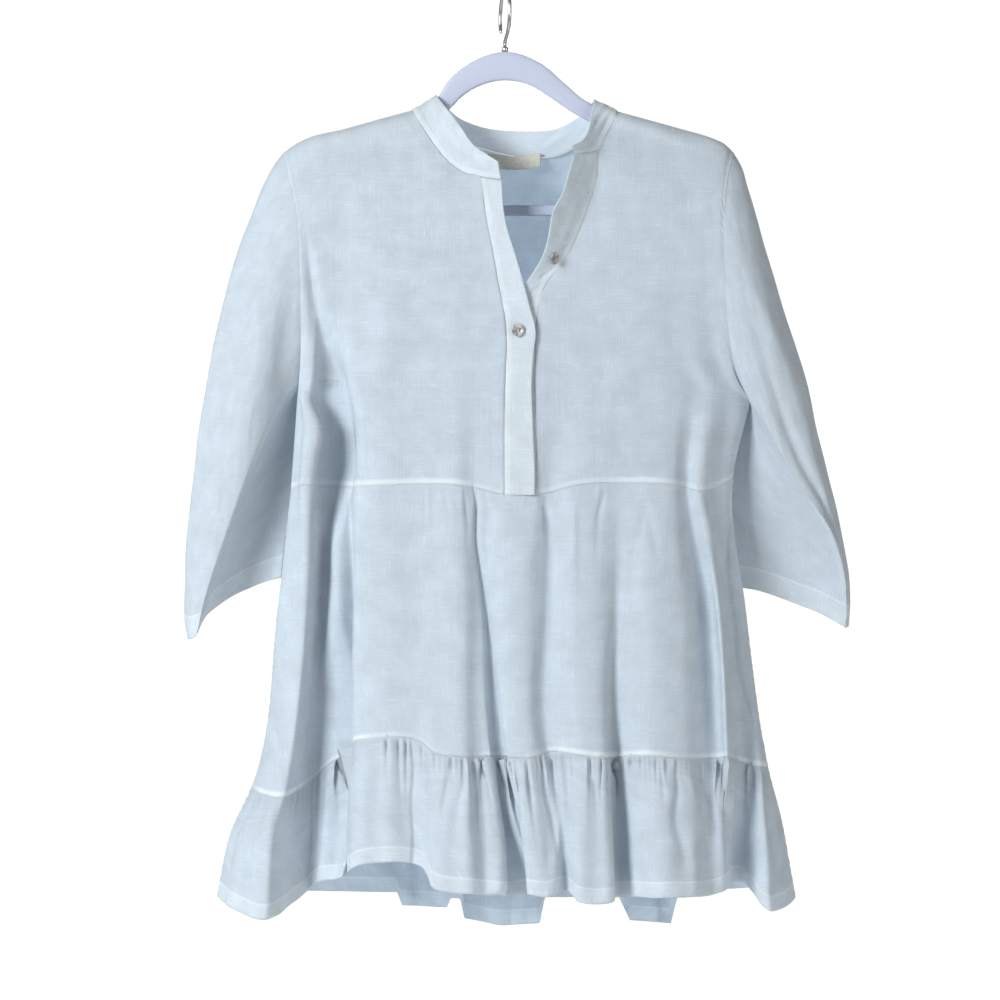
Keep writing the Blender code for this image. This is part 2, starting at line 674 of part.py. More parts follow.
def label(made):
    """The neck label: a short bare tape that hangs inside the back, just under the collar."""
    s, t = np.linspace(0, 1, 8)[None, :], np.linspace(0, 1, 3)[:, None]
    grid = np.zeros((3, 8, 3))
    grid[..., 0] = LABEL_LEFT + LABEL_WIDE * s
    grid[..., 1] = LABEL_DEPTH + LABEL_BOW * np.sin(math.pi * s) - LABEL_LEAN * t
    grid[..., 2] = LABEL_TOP - LABEL_TALL * t - LABEL_SAG * np.sin(math.pi * s)
    wall("label", place(grid), made, np.array([0, -1, 0]), LABEL_THICK)


def hanger_loop(made):
    """The hanger's arms and bar, one closed loop of rounded sections."""
    centres = drawn(*[row[0] for row in HANGER])
    heights = np.array([row[1] for row in HANGER], float)
    steps = 2 * len(HANGER)
    ring = np.concatenate([centres[-3:], centres, centres[:3]])
    tall = np.concatenate([heights[-3:], heights, heights[:3]])
    at = 3 + np.arange(steps) * 0.5
    path = through(ring, at)
    height = np.interp(at, np.arange(len(tall)), tall)
    along = through(ring, at + 0.05) - through(ring, at - 0.05)
    along /= np.linalg.norm(along, axis=1, keepdims=True)
    up = np.stack([-along[:, 2], np.zeros(steps), along[:, 0]], axis=1)
    angle = np.arange(HANGER_SIDES) * math.tau / HANGER_SIDES
    tall_side = np.sign(np.cos(angle)) * np.abs(np.cos(angle)) ** 0.6
    thick_side = np.sign(np.sin(angle)) * np.abs(np.sin(angle)) ** 0.6
    sections = height[:, None, None] / 2 * tall_side[None, :, None] * up[:, None]
    sections[..., 1] += HANGER_THICK / 2 * thick_side[None]
    return loop("hanger_body", path, sections, made)


def hook(made):
    """The swivelled wire hook, with the small ferrule that it turns in."""
    flat = line([(w, 0, z) for w, z in HOOK], HOOK_POINTS)
    out = flat[:, 0]
    path = np.stack([out * math.cos(HOOK_TURN), -out * math.sin(HOOK_TURN), flat[:, 2]], axis=1)
    foot = path[0]
    stem = [foot, foot + [0, 0, FERRULE_TALL], foot + [0, 0, FERRULE_TALL + 0.6]]
    path = np.concatenate([stem, path[path[:, 2] > foot[2] + FERRULE_TALL + 2]])
    curve = bpy.data.curves.new("hanger_hook", "CURVE")
    curve.dimensions = "3D"
    curve.bevel_depth = HOOK_WIRE / 2000
    curve.bevel_resolution = 2
    curve.use_fill_caps = True
    spline = curve.splines.new("POLY")
    spline.points.add(len(path) - 1)
    for point, at in zip(spline.points, path):
        point.co = (*at / 1000, 1)
    for point in spline.points[:2]:
        point.radius = FERRULE / HOOK_WIRE
    obj = bpy.data.objects.new("hanger_hook", curve)
    curve.materials.append(made)
    COLLECTION.objects.link(obj)


def main():
    linen = material("linen", LINEN, 0.9)
    plastic = material("hanger_plastic", PLASTIC, 0.4)
    steel = material("hook_steel", STEEL, 0.3, 1.0)
    shell = material("button_shell", SHELL, 0.35)
    tape = material("label_tape", LABEL, 0.8)
    front, back = np.array([0, -1, 0]), np.array([0, 1, 0])
    side, size = list(FOLDS).index("side_left"), len(FOLDS)
    round_back = np.linspace(side, size, 2 * (size - side) + 1)

    grid = front_bodice(PLACES_RIGHT, SHOULDER_RIGHT, ARMHOLE_RIGHT, NECK_RIGHT, PLACKET_SEAM_RIGHT)
    wall("bodice_front_right", place(grid), linen, front, level=(-1,))
    grid = front_bodice(PLACES_LEFT, SHOULDER_LEFT, ARMHOLE_LEFT, NECK_LEFT, PLACKET_SEAM_LEFT)
    wall("bodice_front_left", place(grid), linen, front, level=(-1,))
    wall("bodice_back", place(back_bodice(round_back)), linen, back, level=(-1,))

    across = np.concatenate([PLACES_RIGHT, PLACES_LEFT[::-1]])
    wall("skirt_front", place(skirt(across, -1)), linen, front, level=(0, -1))
    wall("skirt_back", place(skirt(round_back, 1)), linen, back, level=(0, -1))
    wall("ruffle_front", place(ruffle(across, RUFFLE_WAVES_FRONT, front)), linen, front, level=(0,))
    wall("ruffle_back", place(ruffle(round_back, RUFFLE_WAVES_BACK, back)), linen, back, level=(0,))

    for name, lines, seam in (
        ("sleeve_right", SLEEVE_RIGHT, ARMHOLE_RIGHT),
        ("sleeve_left", SLEEVE_LEFT, ARMHOLE_LEFT),
    ):
        grid = place(sleeve(lines, seam))
        wall(name, grid, linen, grid - grid.mean(axis=1, keepdims=True), ring=True)

    grid = place(collar())
    middle = np.array([COLLAR_MIDDLE_X, 0, 0])
    wall("collar_band", grid, linen, (grid - middle) * [1, 1, 0], BAND)
    seam = (*PLACKET_SEAM_RIGHT, *OVER_SEAM_LOW)
    wall("placket_over", place(strip(seam, OVER_EDGE, 18, 4, SEAM_GAP)), linen, front)
    seam = (*PLACKET_SEAM_LEFT, *UNDER_SEAM_LOW)
    wall("placket_under", place(strip(seam, UNDER_EDGE, 20, 4, FOLDED_GAP)), linen, front)

    button("button_1", BUTTON_1, (0, -1, 0), shell)
    button("button_2", BUTTON_2, (0.32, -0.95, 0), shell)
    label(tape)
    hanger_loop(plastic)
    hook(steel)


COLLECTION = bpy.data.collections.new("babydoll_top_on_hanger")
bpy.context.scene.collection.children.link(COLLECTION)
main()
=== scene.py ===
"""The looks of the linen babydoll top on its plastic hanger.

The tables are read off the same front drawing as the solids: each place is in the drawing's squares, across
and down, with its depth in millimetres, negative towards the front. Every cloth piece is a thin shell on its
solid's form, sampled finely, with its creases, gathers, hems and seams added.
"""

import math

import bmesh
import bpy
import numpy as np
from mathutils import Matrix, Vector


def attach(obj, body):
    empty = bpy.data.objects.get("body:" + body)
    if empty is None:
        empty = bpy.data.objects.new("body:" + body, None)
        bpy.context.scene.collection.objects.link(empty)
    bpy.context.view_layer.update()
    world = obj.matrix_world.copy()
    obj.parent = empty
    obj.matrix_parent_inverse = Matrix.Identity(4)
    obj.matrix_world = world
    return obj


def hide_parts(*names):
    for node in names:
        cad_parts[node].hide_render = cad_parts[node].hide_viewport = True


SQUARE = 0.95
MIDDLE_ACROSS = 505
ORIGIN_DOWN = -8
EYE_DISTANCE = 2400.0
EYE_X = -4.75
EYE_Z = -482.5
VIEW_WIDE = 950.0
SENSOR = 36.0

SHELL_THICK = 0.6
BAND = 1.3
BAND_ROWS = 13
# How pale the cloth is painted where the hanger lies behind it: painted light of the hanger seen through the
# cloth.
HANGER_LIGHT_PAINTED = 0.1
# A folded band is pale all over, and paler still along its seam, where the cloth lies four times over.
BAND_PALE = 0.4
BAND_SEAM_PALE = 0.4
BAND_STRIP = 6.0
HEM = 15.0
CUFF_HEM = 22.0
# Stitches: how far they lie in from a hem's fold and a band's edge, how high, how long, far apart and thick.
HEM_STITCH = 1.5
BAND_STITCH = 2.0
STITCH_LIFT = 0.12
STITCH_LONG = 2.6
STITCH_APART = 3.2
STITCH_THICK = 0.42
STITCH_ENDS = 0.25

HANGER_THICK = 7.0
HANGER_BOXY = 0.55
HOOK_WIRE = 3.5
FERRULE = 6.4
HOOK_TURN = math.radians(80)

LINEN_THIN = (0.64, 0.712, 0.785)
# The paler colour of doubled cloth; the painted light of the hanger behind the cloth is mixed towards it too.
LINEN_DOUBLE_AND_PAINTED_LIGHT = (0.83, 0.885, 0.93)
# How much of the light each face of the cloth lets through. The back's lies against the light.
FRONT_LETS_THROUGH = 0.3
BACK_LETS_THROUGH = 0.65
# Where a point has no such edge near it, and the least length that is divided by.
FAR = 99.0
TINY = 1e-9


def drawn(*places):
    """Places on the front drawing (across, down, depth) as points in millimetres."""
    p = np.asarray(places, float)
    return np.stack(
        [(p[..., 0] - MIDDLE_ACROSS) * SQUARE, p[..., 2], (ORIGIN_DOWN - p[..., 1]) * SQUARE], axis=-1
    )


# One row for each fold round the body, from the wearer's right side across the front to the left side and
# home round the back. Its places lie at the chest, the waist, the hip, the ruffle's seam, the ruffle's brim
# and the hem.
FOLDS = {
    "side_right": (
        (298, 388, 0), (291, 488, 0), (278, 610, 0), (252, 786, 0), (232, 830, 0), (218, 893, 0),
    ),
    "band_right": (
        (309, 388, -12), (309, 486, -26), (306, 608, -34), (282, 797, -46), (272, 838, -52), (264, 920, -56),
    ),
    "valley_right": (
        (326, 388, -7), (328, 486, -5), (322, 608, -4), (312, 780, -8), (312, 835, -6), (310, 889, -5),
    ),
    "ridge_right": (
        (341, 388, -17), (342, 486, -22), (337, 608, -28), (347, 743, -42), (341, 812, -48), (335, 873, -50),
    ),
    "front_1": (
        (362, 388, -26), (366, 486, -34), (364, 608, -42), (372, 739, -54), (372, 800, -60), (374, 863, -62),
    ),
    "front_2": (
        (415, 388, -27), (418, 484, -37), (420, 610, -46), (419, 741, -59), (421, 805, -62), (424, 869, -64),
    ),
    "front_3": (
        (432, 388, -28), (434, 484, -38), (434, 610, -48), (437, 754, -64), (436, 822, -70), (432, 887, -76),
    ),
    "front_4": (
        (458, 388, -29), (459, 485, -40), (464, 610, -51), (464, 757, -68), (466, 826, -76), (468, 894, -81),
    ),
    "fold_mid": (
        (474, 388, -29), (475, 488, -36), (486, 610, -40), (492, 757, -50), (500, 826, -50), (513, 896, -50),
    ),
    "placket_in": (
        (505, 392, -30), (505, 495, -42), (506, 611, -53), (510, 758, -66), (520, 828, -74), (530, 895, -77),
    ),
    "placket_out": (
        (535, 392, -30), (535, 495, -42), (528, 611, -54), (530, 758, -69), (538, 828, -78), (546, 897, -82),
    ),
    "front_5": (
        (560, 388, -29), (549, 493, -38), (547, 610, -46), (549, 752, -60), (557, 825, -68), (566, 891, -70),
    ),
    "front_6": (
        (585, 388, -29), (574, 486, -42), (576, 610, -55), (581, 755, -71), (580, 829, -80), (578, 902, -85),
    ),
    "front_7": (
        (605, 388, -28), (598, 483, -41), (600, 610, -53), (602, 758, -68), (603, 829, -76), (605, 904, -80),
    ),
    "fold_left": (
        (620, 388, -28), (617, 483, -38), (617, 610, -45), (615, 757, -56), (618, 828, -58), (620, 897, -60),
    ),
    "front_8": (
        (650, 388, -26), (650, 483, -38), (652, 610, -51), (652, 756, -67), (655, 828, -75), (656, 898, -79),
    ),
    "front_9": (
        (678, 388, -23), (674, 485, -34), (682, 610, -45), (686, 759, -60), (690, 828, -68), (694, 897, -71),
    ),
    "valley_left": (
        (695, 388, -19), (687, 488, -25), (706, 610, -31), (711, 758, -44), (712, 826, -50), (712, 895, -52),
    ),
    "ridge_left": (
        (712, 388, -17), (697, 491, -32), (717, 610, -43), (725, 757, -54), (726, 824, -54), (727, 890, -50),
    ),
    "turn_left": (
        (732, 390, -8), (719, 486, -16), (731, 610, -20), (745, 763, -22), (743, 820, -18), (741, 882, -12),
    ),
    "lobe_left": (
        (744, 396, -4), (729, 481, -9), (742, 610, -12), (759, 766, -26), (766, 838, -38), (770, 911, -46),
    ),
    "side_left": (
        (751, 400, 0), (733, 478, 0), (746, 610, 0), (768, 766, 0), (782, 822, 0), (795, 895, 0),
    ),
    "back_1": (
        (737, 394, 8), (722, 486, 12), (732, 610, 14), (745, 766, 20), (756, 826, 26), (765, 888, 32),
    ),
    "back_2": (
        (692, 390, 18), (684, 486, 24), (690, 610, 32), (700, 764, 42), (704, 828, 50), (706, 892, 56),
    ),
    "back_3": (
        (655, 390, 22), (650, 486, 28), (652, 610, 30), (662, 762, 34), (668, 830, 36), (674, 904, 38),
    ),
    "back_4": (
        (620, 390, 24), (618, 486, 32), (622, 610, 42), (636, 764, 54), (644, 838, 62), (650, 922, 66),
    ),
    "back_5": (
        (575, 390, 25), (575, 486, 32), (580, 610, 36), (588, 762, 42), (592, 830, 44), (596, 904, 46),
    ),
    "back_6": (
        (530, 390, 26), (530, 487, 34), (528, 610, 44), (528, 764, 56), (526, 840, 64), (522, 925, 68),
    ),
    "back_7": (
        (485, 390, 25), (485, 487, 34), (484, 610, 42), (482, 764, 52), (482, 838, 60), (484, 924, 64),
    ),
    "back_8": (
        (455, 390, 24), (455, 486, 31), (455, 610, 34), (455, 762, 38), (456, 828, 40), (457, 902, 42),
    ),
    "back_9": (
        (425, 390, 23), (425, 486, 30), (424, 610, 38), (424, 762, 48), (426, 830, 54), (428, 907, 58),
    ),
    "back_10": (
        (385, 390, 21), (385, 486, 27), (382, 610, 32), (380, 762, 38), (384, 826, 42), (392, 892, 44),
    ),
    "back_11": (
        (345, 390, 17), (345, 486, 22), (338, 610, 30), (325, 765, 40), (326, 826, 46), (335, 891, 50),
    ),
    "back_12": (
        (315, 390, 9), (310, 486, 12), (298, 610, 14), (275, 778, 20), (262, 830, 26), (256, 890, 30),
    ),
}

# The levels of those places, counted from the chest.
CHEST, WAIST, TIER, BRIM, LOWEST = 0, 1, 3, 4, 5

# Lines that two or more pieces share.
SHOULDER_RIGHT = drawn(
    (284, 152, 0), (297, 143, 0), (310, 137, 0), (343, 129, 0), (375, 120, 0), (412, 110, 0),
)
SHOULDER_LEFT = drawn(
    (734, 153, 0), (725, 144, 0), (710, 137, 0), (686, 130, 0), (650, 120, 0), (617, 111, 0),
)
ARMHOLE_RIGHT = drawn(
    (284, 152, 0), (290, 180, 0), (296, 210, 0), (300, 275, 0), (301, 335, 0), (300, 365, 0),
    (298, 388, 0),
)
ARMHOLE_LEFT = drawn(
    (734, 153, 0), (728, 180, 0), (725, 210, 0), (724, 250, 0), (726, 300, 0), (730, 345, 0),
    (738, 378, 0), (751, 400, 0),
)
ARMHOLE_DEPTH = 24.0
# Where the columns of each front lie, counted in folds from its side to its placket.
PLACES_RIGHT = np.array([0, 0.5, 1, 1.5, 2, 2.5, 3, 3.5, 4, 5, 6, 7, 7.5, 8, 9])
PLACES_LEFT = np.array([21, 20.5, 20, 19.5, 19, 18.5, 18, 17.5, 17, 16, 15, 14, 13, 12, 11, 10])
# How far down the upper bodice each of its rows lies, and how far along the neck's seam the first few lie.
ROWS = np.array([0, 0.008, 0.022, 0.05, 0.1, 0.16, 0.23, 0.3, 0.38, 0.46, 0.55, 0.64, 0.73, 0.82, 0.91, 1])
NECK_ROWS = np.array([0, 0.05, 0.1, 0.22, 0.42, 0.62, 0.82, 1])
SHOULDER_ROUND = 8.0
# How many times finer the cloth is sampled than the places above, and how many rows each part has.
FINE = 9
BACK_FINE = 12
NEAR_SHOULDER = (0, 0.004, 0.008, 0.015, 0.022, 0.036, 0.05)
BELOW_SHOULDER = 0.062
FRONT_ROWS = (90, 38)
BACK_ROWS = (84, 34)
SKIRT_ROWS = 112
RUFFLE_ROWS = 60
RUFFLE_FINE = 20
RUFFLE_SAMPLES = 600
# The levels of the ruffle's first few rows, and where its even rows begin.
RUFFLE_TOP = (3, 3.02, 3.05)
RUFFLE_FROM = 3.08

# The seam where the collar joins the fronts, then the placket's long edge down to the chest.
NECK_RIGHT = drawn(
    (412, 110, 0), (414, 113, -8), (425, 131, -13), (437, 148, -19), (450, 163, -24), (463, 172, -27),
    (481, 177, -29),
)
PLACKET_SEAM_RIGHT = drawn(
    (481, 177, -29), (487, 220, -29.5), (493, 250, -30), (500, 290, -30), (505, 315, -30),
    (507, 345, -30), (506, 370, -30), (505, 392, -30),
)
NECK_LEFT = drawn((617, 111, 0), (616, 114, -8), (611, 127, -11), (605, 139, -15), (599, 150, -19))
PLACKET_SEAM_LEFT = drawn(
    (599, 150, -19), (598, 171, -23), (592, 196, -25), (586, 215, -26), (578, 235, -27),
    (568, 255, -28), (555, 272, -28.5), (543, 289, -29), (537, 312, -30), (535, 345, -30),
    (535, 392, -30),
)
NECK_BACK = drawn(
    (412, 110, 0), (414, 113, 8), (428, 124, 12), (450, 137, 16), (476, 147, 19), (522, 157, 22),
    (560, 155, 20), (584, 142, 16), (603, 127, 12), (616, 114, 8), (617, 111, 0),
)

# The free edges of the two plackets.
OVER_EDGE = drawn(
    (501, 180, -33), (503, 210, -33.5), (507, 230, -34), (515, 255, -34.5), (524, 287, -35),
    (530, 310, -35), (535, 330, -34.5), (533, 352, -34), (531, 380, -34), (532, 420, -37),
    (534, 470, -43), (534, 495, -46),
)
UNDER_EDGE = drawn(
    (574, 156, -38), (570, 171, -44), (562, 196, -47), (554, 210, -47), (551, 225, -46),
    (548, 242, -43), (543, 257, -39), (534, 272, -34), (524, 287, -31), (513, 306, -29),
    (510, 335, -28), (509, 392, -28), (509, 494, -39),
)
OVER_SEAM_LOW = drawn((505, 420, -33.5), (505, 460, -38.5), (505, 495, -42))
UNDER_SEAM_LOW = drawn((535, 420, -33.5), (535, 460, -38.5), (535, 494, -42))

# Round the collar, from the end on the over placket past the back to the end on the under placket.
COLLAR = (
    # lower edge, upper edge
    ((501, 179, -32), (498, 162, -36)),
    ((481, 176, -29), (485, 154, -33)),
    ((463, 171, -27), (472, 144, -28)),
    ((450, 162, -24), (463, 131, -24)),
    ((437, 147, -19), (452, 116, -19)),
    ((425, 130, -13), (444, 106, -13)),
    ((414, 112, -8), (437, 97, -8)),
    ((412, 109, 0), (436, 95, 0)),
    ((414, 112, 8), (438, 98, 9)),
    ((428, 123, 12), (446, 107, 13)),
    ((450, 136, 16), (458, 118, 17)),
    ((476, 146, 19), (476, 126, 20)),
    ((522, 156, 22), (522, 132, 23)),
    ((560, 154, 20), (558, 129, 21)),
    ((584, 141, 16), (577, 119, 17)),
    ((603, 126, 12), (590, 108, 13)),
    ((616, 113, 8), (594, 101, 9)),
    ((617, 110, 0), (595, 99, 0)),
    ((616, 113, -8), (594, 103, -9)),
    ((611, 126, -11), (592, 115, -17)),
    ((605, 138, -15), (590, 127, -24)),
    ((599, 149, -19), (586, 137, -30)),
    ((586, 153, -27), (580, 143, -37)),
    ((575, 155, -34), (573, 146, -43)),
)

# Down each sleeve: the outer silhouette, the underarm fold that stands towards the eye, and the inner line
# beside the body, which runs deeper than the solid's. The cuff lines run between their lower ends.
SLEEVE_RIGHT = {
    "outer": drawn(
        (284, 152, 0), (273, 167, 0), (262, 188, 0), (252, 214, 1), (241, 240, 1), (230, 275, 2),
        (221, 310, 2), (212, 351, 2), (206, 384, 2), (199, 423, 1), (194, 467, 0), (190, 499, -2),
        (186, 543, -4), (185, 586, -6), (185, 625, -8), (187, 637, -8),
    ),
    "fold": drawn(
        (298, 388, 0), (286, 395, -8), (273, 419, -16), (258, 452, -22), (245, 484, -26),
        (234, 514, -28), (223, 545, -30), (212, 577, -32), (204, 603, -33), (197, 635, -34),
    ),
    "inner": drawn(
        (298, 388, 0), (301, 402, 9), (300, 430, 15), (297, 470, 17), (292, 520, 14), (286, 560, 8),
        (285, 577, 6),
    ),
    "cuff_front": drawn((187, 637, -8), (190, 639, -20), (197, 635, -34)),
    "cuff_under": drawn(
        (197, 635, -34), (206, 616, -24), (217, 606, -12), (234, 595, 0), (252, 587, 6), (267, 581, 8),
        (285, 577, 6),
    ),
    "cuff_back": drawn((285, 577, 6), (262, 578, 30), (235, 590, 36), (208, 612, 24), (187, 637, -8)),
}
SLEEVE_LEFT = {
    "outer": drawn(
        (734, 153, 0), (742, 166, 0), (749, 189, 0), (761, 230, 1), (773, 269, 2), (785, 310, 2),
        (797, 347, 2), (810, 390, 3), (817, 428, 4), (829, 477, 8), (839, 516, 13), (845, 550, 18),
        (849, 574, 20), (850, 598, 22), (847, 624, 24),
    ),
    "fold": drawn(
        (751, 400, 0), (757, 415, -9), (771, 436, -15), (785, 462, -18), (802, 489, -18),
        (819, 511, -16), (831, 530, -13), (842, 560, -7), (847, 594, -4), (846, 628, -2),
    ),
    "inner": drawn(
        (751, 400, 0), (744, 416, 9), (733, 445, 15), (724, 472, 18), (723, 500, 20), (728, 540, 21),
        (736, 587, 22),
    ),
    "cuff_front": drawn((847, 624, 24), (849, 626, 11), (846, 628, -2)),
    "cuff_under": drawn(
        (846, 628, -2), (836, 622, 1), (819, 613, 5), (801, 606, 9), (783, 599, 13), (756, 590, 17),
        (736, 587, 22),
    ),
    "cuff_back": drawn((736, 587, 22), (765, 586, 40), (795, 594, 50), (825, 608, 44), (847, 624, 24)),
}
# How full each sleeve's front stands beside its outer edge, and how soon it turns flat.
SLEEVE_FRONT = {"sleeve_right": (30.0, 1.0), "sleeve_left": (24.0, 6.0)}
SLEEVE_FULL_BACK = 16.0
SLEEVE_HOLLOW = 9.0
SLEEVE_ROWS = 150
SLEEVE_WIDE = 44
SLEEVE_NARROW = 22
# An armhole's line in steps, and the step from which it belongs to the part under the sleeve's fold.
ARMHOLE_STEPS = 161
UNDERARM_STEP = 157

COLLAR_MIDDLE_X = 10.0

# The fastened button on the over placket, and the loose one on the under placket.
BUTTON_1 = drawn((518, 330, -34.4))[0]
BUTTON_2 = drawn((555, 258, -35.0))[0]

LABEL_LEFT = -16.0
LABEL_WIDE = 50.0
LABEL_TOP = -153.0
LABEL_TALL = 13.0
LABEL_DEPTH = 17.0
LABEL_BOW = 2.2
LABEL_LEAN = 0.8
LABEL_SAG = 3.0
LABEL_ROWS = 14
LABEL_COLUMNS = 40

# A button's section from the middle of its face round its rim to the middle of its back, and its holes.
BUTTON_SECTION = (
    (0.0, 0.35), (2.6, 0.35), (3.4, 0.5), (4.1, 0.95), (4.8, 1.1), (5.5, 0.95), (5.9, 0.5), (6.0, 0.0),
    (5.8, -0.6), (5.0, -1.0), (3.0, -1.1), (0.0, -1.1),
)
BUTTON_SIDES = 48
HOLE_PLACE = 1.15
HOLE_RADIUS = 0.62
HOLE_DEEP = 6.0
THREAD = 0.5

# The hanger's loop: one row for each point of its centre line, with the height of its section there.
HANGER = (
    # centre, height of the section
    ((505, 66, 0), 27),
    ((478, 73, 0), 24),
    ((456, 88, 0), 20),
    ((443, 104, 0), 16),
    ((422, 118, 0), 16),
    ((395, 126.5, 0), 16),
    ((360, 137.5, 0), 16),
    ((325, 146, 0), 16),
    ((308, 150, 0), 15),
    ((297, 165, 0), 12),
    ((298, 187, 0), 10),
    ((306, 203, 0), 10),
    ((325, 210.5, 0), 10),
    ((400, 210.5, 0), 10),
    ((505, 210.5, 0), 10),
    ((610, 210.5, 0), 10),
    ((698, 210.5, 0), 10),
    ((716, 203, 0), 10),
    ((724, 187, 0), 10),
    ((725, 166, 0), 12),
    ((713, 151, 0), 15),
    ((695, 145, 0), 16),
    ((665, 137, 0), 16),
    ((635, 128, 0), 16),
    ((607, 119.5, 0), 16),
    ((580, 107, 0), 16),
    ((556, 89, 0), 19),
    ((535, 74, 0), 23),
)
# The hook's centre line in its own plane: distance from the stem's line, and height.
HOOK = (
    (0.0, -56.4), (0.0, -48.0), (9.0, -43.5), (19.5, -37.0), (25.0, -26.0), (24.5, -13.0), (16.0, -2.0),
    (0.0, 1.75), (-15.0, -2.5), (-24.0, -14.0), (-25.5, -27.0), (-22.0, -35.0),
)

# The back's hem where it shows under the front's, across and down.
BACK_HEM = (
    (340, 891), (397, 892), (402, 905), (448, 907), (451, 898), (460, 898), (464, 918), (500, 925),
    (540, 923), (545, 897), (619, 897), (630, 920), (671, 923), (677, 897), (706, 891),
)
# The gathers of the ruffle: how many stand across each half, and how deep they are.
RUFFLE_WAVES_FRONT = 26
RUFFLE_WAVES_BACK = 24
RUFFLE_DEPTH = 2.6
# How far the waves have grown at some levels, and how many rows the seam above draws in.
RUFFLE_SWELL = ((3, 0), (3.35, 0.9), (3.9, 1), (4.5, 0.95), (5, 0.9))
RUFFLE_REACH = 24
# The widths of the small gathers, as shares of their pitch.
GATHER_SHARES = (1.0, 0.62, 1.45)
# The sizes of the cloth's unevenness in millimetres across it.
WRINKLES = (46, 23, 11)

